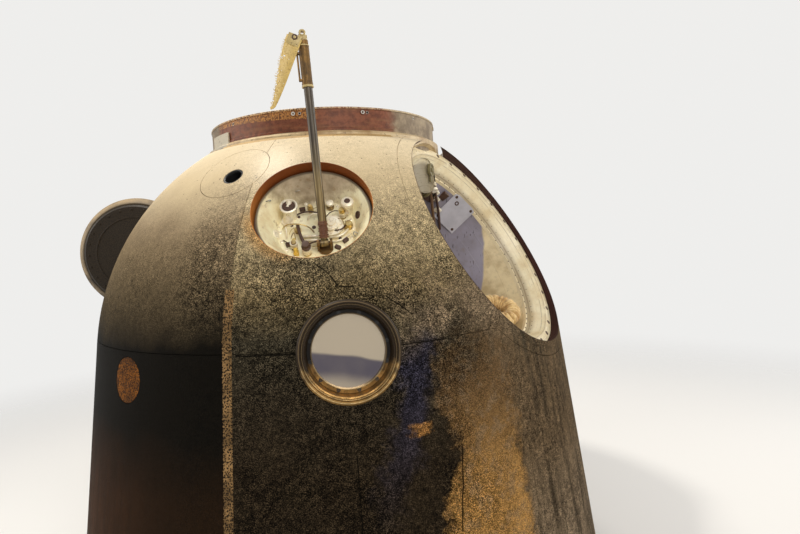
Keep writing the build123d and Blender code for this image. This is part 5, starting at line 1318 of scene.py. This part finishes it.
def make_well_plugs():
    """Dark discs in the mouths of the open cup and the flared connector, painted shade of their insides; dark buttons
    and clips, the yellow plug and the pale blocks of the antenna well.
    """
    dark = bmesh.new()
    open_cup, flared = well_mouths()
    # Painted shade: dark discs close the mouths of the open cup and the flared connector
    lathe(dark, mm((0, 55.5), (21.4, 55.5), (21.6, 57.2), (19, 58), (0, 58.2)), open_cup, 36)
    lathe(dark, mm((0, 68.5), (10.5, 68.5), (10, 70), (0, 70.2)), flared, 28)
    buttons = ((-0.009, 0.013, 0.0070), (0.052, 0.052, 0.0058), (-0.084, 0.026, 0.0062), (0.078, -0.040, 0.0055),
               (0.012, 0.030, 0.0040), (-0.060, 0.060, 0.0050), (0.088, 0.084, 0.0045))
    for x, y, radius in buttons:
        outline = [(0.0, 0.0), (radius, 0.0), (radius * 0.92, 0.0016), (0.0, 0.0020)]
        lathe(dark, outline, on_floor(x, y), 20)
    oval = slope(0.1410, 0.0350) @ Matrix.Diagonal((0.55, 1.0, 1.0, 1.0))
    lathe(dark, mm((0, 0.8), (19, 0.8), (24, 0), (23, 3.8), (18, 4.6), (16, 2), (0, 1.6)), oval, 36)
    lathe(dark, mm((0, 0), (15, 0), (15, 6), (12, 8), (12, 20), (0, 21)), on_floor(-0.029, -0.091, 0.034), 28)
    for x, y, angle in ((-0.090, -0.056, 20), (0.070, -0.078, -30), (0.096, -0.052, 40), (-0.048, 0.088, 10)):
        box(dark, turned(on_floor(x, y, 0.006), angle, "Z"), (0.020, 0.012, 0.012), 0.0015)
    piece("well_dark_fittings", dark, "dark_fitting")

    yellow = bmesh.new()
    spot = on_floor(-0.064, -0.094, 0.0085)
    box(yellow, spot, (0.017, 0.015, 0.017), 0.0025)
    lathe(yellow, mm((0, 0), (6.8, 0), (6.8, 13), (4.5, 16), (0, 16.5)), shifted(spot, 0.0, 0.002, 0.007), 24)
    lathe(yellow, mm((0, 0), (6, 0), (6, 20), (0, 20.5)), on_floor(-0.072, -0.048), 20)
    piece("well_yellow_plug", yellow, "yellow_fitting")

    pale = bmesh.new()
    box(pale, shifted(slope(0.020, -0.138), 0, 0, 0.0050), (0.034, 0.016, 0.010), 0.0020)
    box(pale, shifted(slope(0.062, -0.130), 0, 0, 0.0030), (0.016, 0.012, 0.006), 0.0015)
    piece("well_pale_blocks", pale, "cream")


def make_well_pipes():
    """Pipes and wires over the well's floor, by (right, up, height), and hooks on its wall."""
    mm_pipes("well_dark_pipes", "dark_fitting", WELL_FLOOR, (
        (5.5, ((-62, 20, 3), (-61, 12, 26), (-55, -20, 30), (-45, -50, 22), (-34, -68, 12), (-26, -82, 4))),
        (3.2, ((-38, -82, 3), (-24, -66, 16), (-4, -62, 22), (20, -58, 22), (40, -62, 14), (52, -72, 3))),
        (2.4, ((52, -12, 14), (74, -22, 20), (94, -8, 18), (100, 18, 10), (98, 30, 2))),
        (2.6, ((-78, 58, 2), (-60, 66, 14), (-20, 70, 16), (12, 64, 10), (26, 56, 2))),
        (2.0, ((-108, -36, 3), (-98, -52, 16), (-84, -62, 16), (-76, -78, 3))),
        (1.8, ((20, 26, 3), (34, 44, 22), (60, 62, 24), (84, 64, 12), (92, 60, 3))),
    ))
    mm_pipes("well_bright_pipes", "polished", WELL_FLOOR, (
        (5.0, ((-48, -28, 2), (-42, -30, 10), (-18, -32, 12), (4, -32, 12), (12, -30, 2))),
        (4.2, ((-44, -44, 2), (-38, -45, 9), (-14, -48, 11), (8, -46, 10), (16, -44, 2))),
        (3.4, ((44, -34, 2), (62, -42, 12), (88, -34, 12), (106, -10, 10), (110, 6, 2))),
        (2.8, ((40, -52, 2), (64, -60, 10), (90, -50, 12), (112, -26, 3))),
        (3.0, ((-30, 44, 2), (-24, 50, 18), (0, 56, 22), (22, 50, 10), (26, 46, 2))),
        (2.2, ((-112, 34, 3), (-104, 14, 22), (-96, -10, 22), (-98, -30, 3))),
    ))
    mm_pipes("well_brass_wires", "brass", WELL_FLOOR, (
        (2.2, ((-112, 10, 6), (-100, 4, 34), (-70, 5, 36), (-40, 2, 32), (-16, -4, 18), (-8, -10, 2))),
        (1.6, ((-36, -74, 2), (-20, -76, 12), (6, -74, 14), (24, -78, 2))),
        (1.4, ((62, 36, 3), (78, 30, 26), (92, 14, 24), (96, -4, 3))),
        (1.3, ((-84, -30, 3), (-74, -24, 30), (-66, -36, 34), (-66, -56, 3))),
        (1.3, ((-20, 88, 3), (0, 84, 16), (22, 90, 16), (36, 100, 3))),
        (1.2, ((-90, -12, 3), (-80, -4, 26), (-60, -14, 30), (-50, -34, 3))),
    ))
    hooks = []
    for x, y in ((-0.1530, 0.0790), (0.1340, -0.0390), (-0.0600, 0.1430)):
        spot = slope(x, y)
        line = ((-6, -4, -1), (-6, -4, 9), (0, 4, 13), (6, 2, 9), (6, 2, -1))
        hooks.append((0.0017, [spot @ (Vector(p) / 1000) for p in line]))
    pipe_piece("well_hooks", hooks, "steel")


def make_mast_tape():
    """Tape rolled round the mast's tube, from its foot to its sleeve, one turn and a bit."""
    mast = mast_frame()
    tape = bmesh.new()
    bmesh.ops.create_grid(tape, x_segments=64, y_segments=24, size=0.5)
    for v in tape.verts:
        share = v.co.x + 0.5
        turn = math.radians(-38) + share * (2 * math.pi + 0.55)
        r = 0.0128 + 0.0013 * share
        up = TAPE_FOOT + (v.co.y + 0.5) * (SLEEVE_FOOT - TAPE_FOOT)
        v.co = mast @ Vector((r * math.cos(turn), r * math.sin(turn), up))
    bmesh.ops.solidify(tape, geom=list(tape.faces), thickness=-0.0009)
    piece("mast_rolled_tape", tape, "mast", "mast")


def make_mast_fittings():
    """Cover and lips of the mast's upper sleeve, the wraps at its foot and the nuts of its pins."""
    mast = mast_frame()
    length = Vector(MAST_REACH).length
    foot, top = SLEEVE_FOOT, length - 0.0062
    cover, lips, wraps, nuts = bmesh.new(), bmesh.new(), bmesh.new(), bmesh.new()
    lathe(cover, [(0.0134, foot + 0.001), (0.0176, foot + 0.001), (0.0176, foot + 0.010), (0.0168, foot + 0.012),
                  (0.0168, top - 0.016), (0.0160, top - 0.014), (0.0160, top), (0.0134, top)], mast, 48)
    for level in (0.524, 0.560, 0.600):
        for spot in on_circle(mast, 2, 0.0166, level, start=-105):
            bmesh.ops.create_icosphere(cover, subdivisions=1, radius=0.0018, matrix=spot)
    piece("mast_sleeve_cover", cover, "sleeve", "mast")
    lathe(lips, [(0.0134, foot - 0.003), (0.0184, foot - 0.003), (0.0188, foot + 0.0005),
                 (0.0180, foot + 0.0035), (0.0134, foot + 0.0035)], mast, 48)
    lathe(lips, [(0.0150, top - 0.018), (0.0174, top - 0.017), (0.0174, top - 0.014), (0.0150, top - 0.013)], mast, 48)
    piece("mast_sleeve_lips", lips, "cast", "mast")
    for i in range(8):
        level = 0.016 + 0.0068 * i
        r = 0.0150 + 0.0011 * math.sin(i * 2.3)
        lathe(wraps, [(0.0102, level), (r - 0.0008, level), (r, level + 0.0018), (r, level + 0.0046),
                      (r - 0.0010, level + 0.0062), (0.0102, level + 0.0062)], mast, 28)
    for i in range(11):
        spot = shifted(turned(mast, 137.5 * i, "Z"), 0.0148, 0, 0.018 + 0.0052 * i)
        bmesh.ops.create_icosphere(wraps, subdivisions=1, radius=0.0022, matrix=spot)
    piece("mast_foot_wraps", wraps, "maroon", "mast")

    blade = blade_frame()
    bolts(nuts, [turned(shifted(blade, 0, 0, -0.0135), 180, "X")], 0.0062, 0.0040, 0.0080)
    eye = turned(shifted(mast, 0, 0, length + 0.0174), 90, "X")
    for side in (0, 180):
        lathe(nuts, mm((5.2, 7.8), (9.2, 7.8), (8.6, 9.2), (5.6, 9.2)), turned(eye, side, "X"), 28)
    piece("mast_head_fittings", nuts, "cast", "mast")


def blade_line():
    """Middle of the blade from hub to tip, with the direction across it, in the blade's frame."""
    centre, line = Vector((0.0, 0.0)), []
    for i in range(BLADE_STEPS + 1):
        share = i / BLADE_STEPS
        heading = math.radians(-116.0 + 5.0 * math.sin(3.1 * share) - 62.0 * max(0.0, share - 0.92) / 0.08)
        line.append((centre.copy(), Vector((-math.sin(heading), math.cos(heading)))))
        centre += Vector((math.cos(heading), math.sin(heading))) * (BLADE_LENGTH / BLADE_STEPS)
    return line


def blade_half_width(share):
    return 0.0250 * (1 - 0.84 * share ** 1.5)


def make_antenna_blade():
    """Cream tape of the antenna: cupped across, hooked at its tip, torn and frayed down its left side."""
    place, line = blade_frame(), blade_line()
    bm = bmesh.new()
    bmesh.ops.create_grid(bm, x_segments=18, y_segments=BLADE_STEPS, size=0.5)
    torn = []
    for f in bm.faces:
        u, w = f.calc_center_median().xy
        hole = noise.noise(Vector((u * 9.0, w * 46.0, 2.0)))
        nearness = max(0.0, -u - 0.20) / 0.30
        if hole + 0.30 * nearness > 0.60 and w > -0.30:
            torn.append(f)
    for v in bm.verts:
        u, share = v.co.x, v.co.y + 0.5
        spine, side = line[round(share * BLADE_STEPS)]
        half_w = blade_half_width(share)
        fray = noise.noise(Vector((share * 60, 5.0, 1.0))) * 0.0022
        frayed = max(0.0, -2 * u - 0.70) / 0.30 * fray * min(1.0, share * 8)
        flat = spine + side * (half_w * 2 * u + frayed)
        cup = 0.0042 * (1 - (2 * u) ** 2) * (1 - 0.6 * share)
        v.co = place @ Vector((flat.x, flat.y, 0.0170 - cup))
    bmesh.ops.delete(bm, geom=torn, context="FACES")
    bmesh.ops.solidify(bm, geom=list(bm.faces), thickness=0.0012)
    tape = piece("blade_tape", bm, "blade", "blade", weld=1e-6)
    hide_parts("antenna_blade")


def make_blade_shreds():
    """Curled shreds down the blade's left edge."""
    place, line = blade_frame(), blade_line()
    shreds = []
    for i in range(46):
        share = 0.05 + 0.92 * (i + 0.5 * noise.noise(Vector((i * 0.7, 3.0, 9.0)))) / 46
        spine, side = line[round(share * BLADE_STEPS)]
        down = Vector((side.y, -side.x))
        reach = 0.0035 + 0.0085 * abs(noise.noise(Vector((i * 1.9, 7.0, 4.0))))
        lean = 1.1 * noise.noise(Vector((i * 2.7, 1.0, 6.0)))
        edge = spine - side * (blade_half_width(share) - 0.0012)
        points = [edge, edge - side * reach * 0.55 + down * reach * 0.2 * lean,
                  edge - side * reach + down * reach * 0.7 * lean,
                  edge - side * reach * 0.85 + down * reach * 1.2 * lean]
        shreds.append((0.00075, [place @ Vector((p.x, p.y, BLADE_FACE)) for p in points]))
    pipe_piece("blade_shreds", shreds, "blade", "blade")


def make_blade_fittings():
    """Plate at the blade's root, and the hub that it turns on."""
    place = blade_frame()
    plate, hub = bmesh.new(), bmesh.new()
    spine, side = blade_line()[3]
    turn = Matrix.Rotation(math.atan2(side.y, side.x), 4, "Z")
    box(plate, shifted(place, spine.x - 0.001, spine.y - 0.002, 0.0142) @ turn, (0.0420, 0.0360, 0.0054), 0.0016)
    piece("blade_root_plate", plate, "cast", "blade")
    lathe(hub, mm((5, 10), (9.2, 10), (9.2, 17.6), (7.4, 18.4), (5, 17.6)), place, 40)
    bolts(hub, [shifted(place, 0, 0, 0.0100)], 0.0050, 0.0055)
    for x, y in ((0.0130, 0.0060), (-0.0120, -0.0180), (0.0040, -0.0230)):
        head(hub, shifted(place, x, y, 0.0166), 0.0014, 0.0014, 10)
    piece("blade_hub", hub, "dark_fitting", "blade")


# Base and cabin

def make_base_details():
    """Bolts round the base frame and round each landing engine's rim."""
    bm = bmesh.new()
    tilt = math.radians(CONE_ANGLE)
    for i in range(48):
        point, out = surface_point(7.5 * i + 3.0, BASE_BOLTS_Z)
        bolts(bm, [facing(point, out)], 0.0056, 0.0036 * math.cos(tilt), 0.0090)
    for i in range(6):
        turn = math.radians(60 * i)
        centre = shifted(UPRIGHT, ENGINES_R * math.cos(turn), ENGINES_R * math.sin(turn), ENGINE_RIM_Z)
        bolts(bm, on_circle(turned(centre, 180, "X"), 10, 0.0535, 0.0), 0.0036, 0.0034, 0.0055)
    piece("base_bolts", bm, "steel")


def make_console_details():
    """Dials and keys on the instrument console's face."""
    dials, keys = bmesh.new(), bmesh.new()
    face = turned(shifted(UPRIGHT, *CONSOLE_PLACE), CONSOLE_TILT, "Y")
    face = turned(shifted(face, 0.030, 0), 90, "Y")
    for y in (-0.22, -0.13, 0.13, 0.22):
        for x in (-0.075, 0.025):
            lathe(dials, mm((0, 0), (36, 0), (36, 8), (30, 8), (29, 2), (0, 2)), shifted(face, x, y), 32)
    lathe(dials, mm((0, 0), (62, 0), (62, 10), (54, 10), (52, 3), (0, 3)), shifted(face, -0.030, 0), 48)
    for row in range(2):
        for i in range(18):
            box(keys, shifted(face, 0.090 + 0.028 * row, -0.255 + 0.030 * i, 0.003), (0.016, 0.018, 0.010), 0.0015)
    piece("console_dials", dials, "black")
    piece("console_keys", keys, "plate")


# Studio

def make_camera():
    """Camera where the photograph was taken from."""
    yaw, pitch, roll = (math.radians(angle) for angle in CAMERA_TURN)
    ahead = Vector((math.sin(yaw) * math.cos(pitch), math.cos(yaw) * math.cos(pitch), math.sin(pitch)))
    level = Vector((math.cos(yaw), -math.sin(yaw), 0))
    above = level.cross(ahead)
    right = level * math.cos(roll) + above * math.sin(roll)
    up = above * math.cos(roll) - level * math.sin(roll)
    data = bpy.data.cameras.new("photo_camera")
    data.sensor_width = 36.0
    data.lens = CAMERA_LENS
    data.clip_start = 0.05
    camera = bpy.data.objects.new("photo_camera", data)
    bpy.context.scene.collection.objects.link(camera)
    camera.matrix_world = Matrix.Translation(CAMERA_SPOT) @ Matrix((right, up, -ahead)).transposed().to_4x4()
    bpy.context.scene.camera = camera


def make_floor():
    """Pale floor that fades out into the surrounding."""
    bm = bmesh.new()
    bmesh.ops.create_circle(bm, cap_ends=True, segments=96, radius=6.5)
    mesh = bpy.data.meshes.new("studio_floor")
    bm.to_mesh(mesh)
    bm.free()
    floor = bpy.data.objects.new("studio_floor", mesh)
    bpy.context.scene.collection.objects.link(floor)
    f = Finish("studio_floor_pale", roughness=0.9, colour=(0.80, 0.79, 0.77))
    f.set("Specular IOR Level", 0.1)
    f.set("Alpha", f.step(f.off_axis(UPRIGHT), 5.6, 1.9))
    mesh.materials.append(f.material)


def make_lamps():
    """One small lamp above and large soft ones all round."""
    lamps = (
        ("key_lamp", (-1.05, 0.10, 4.4), 0.45, 85.0, (1.0, 0.95, 0.86)),
        ("front_lamp", (0.9, -4.4, 3.3), 2.6, 105.0, (1.0, 0.96, 0.90)),
        ("left_lamp", (-4.2, -0.4, 2.8), 2.6, 70.0, (1.0, 0.97, 0.93)),
        ("right_lamp", (4.3, -0.2, 2.8), 2.6, 80.0, (1.0, 0.97, 0.93)),
        ("back_lamp", (0.6, 4.5, 3.2), 2.6, 85.0, (1.0, 0.98, 0.96)),
    )
    for name, spot, size, power, colour in lamps:
        light = bpy.data.lights.new(name, "AREA")
        light.shape = "DISK"
        light.size = size
        light.energy = power
        light.color = colour
        lamp = bpy.data.objects.new(name, light)
        bpy.context.scene.collection.objects.link(lamp)
        towards = Vector((0, 0, 1.0)) - Vector(spot)
        lamp.matrix_world = Matrix.Translation(spot) @ towards.to_track_quat("-Z", "Y").to_matrix().to_4x4()


def make_surrounding():
    """Plain light from all sides, and a paler tone where the camera, a mirror or glass shows the background."""
    world = bpy.data.worlds.new("studio_world")
    bpy.context.scene.world = world
    world.use_nodes = True
    nodes, links = world.node_tree.nodes, world.node_tree.links
    plain = nodes["Background"]
    plain.inputs["Color"].default_value = (0.86, 0.85, 0.84, 1.0)
    plain.inputs["Strength"].default_value = 0.36
    seen = nodes.new("ShaderNodeBackground")
    seen.inputs["Color"].default_value = (0.86, 0.855, 0.84, 1.0)
    path = nodes.new("ShaderNodeLightPath")
    share = path.outputs["Is Camera Ray"]
    for ray in ("Is Glossy Ray", "Is Transmission Ray"):
        either = nodes.new("ShaderNodeMath")
        either.operation = "MAXIMUM"
        links.new(share, either.inputs[0])
        links.new(path.outputs[ray], either.inputs[1])
        share = either.outputs[0]
    mixed = nodes.new("ShaderNodeMixShader")
    links.new(share, mixed.inputs[0])
    links.new(plain.outputs[0], mixed.inputs[1])
    links.new(seen.outputs[0], mixed.inputs[2])
    links.new(mixed.outputs[0], nodes["World Output"].inputs["Surface"])
    bpy.context.scene.view_settings.view_transform = "Standard"


make_camera()
finishes = make_finishes()
finish_nodes()
for make_part in (
    make_seam_filler, make_port_details, make_reserve_details, make_ring_details, make_hatch_details,
    make_window_details, make_periscope_details, make_bay_rims, make_bay_skirt, make_bay_clips, make_bay_fixings,
    make_riser_roll, make_well_metal, make_well_plugs, make_well_pipes, make_mast_tape, make_mast_fittings,
    make_antenna_blade, make_blade_shreds, make_blade_fittings, make_base_details, make_console_details,
    make_floor, make_lamps, make_surrounding,
):
    make_part()
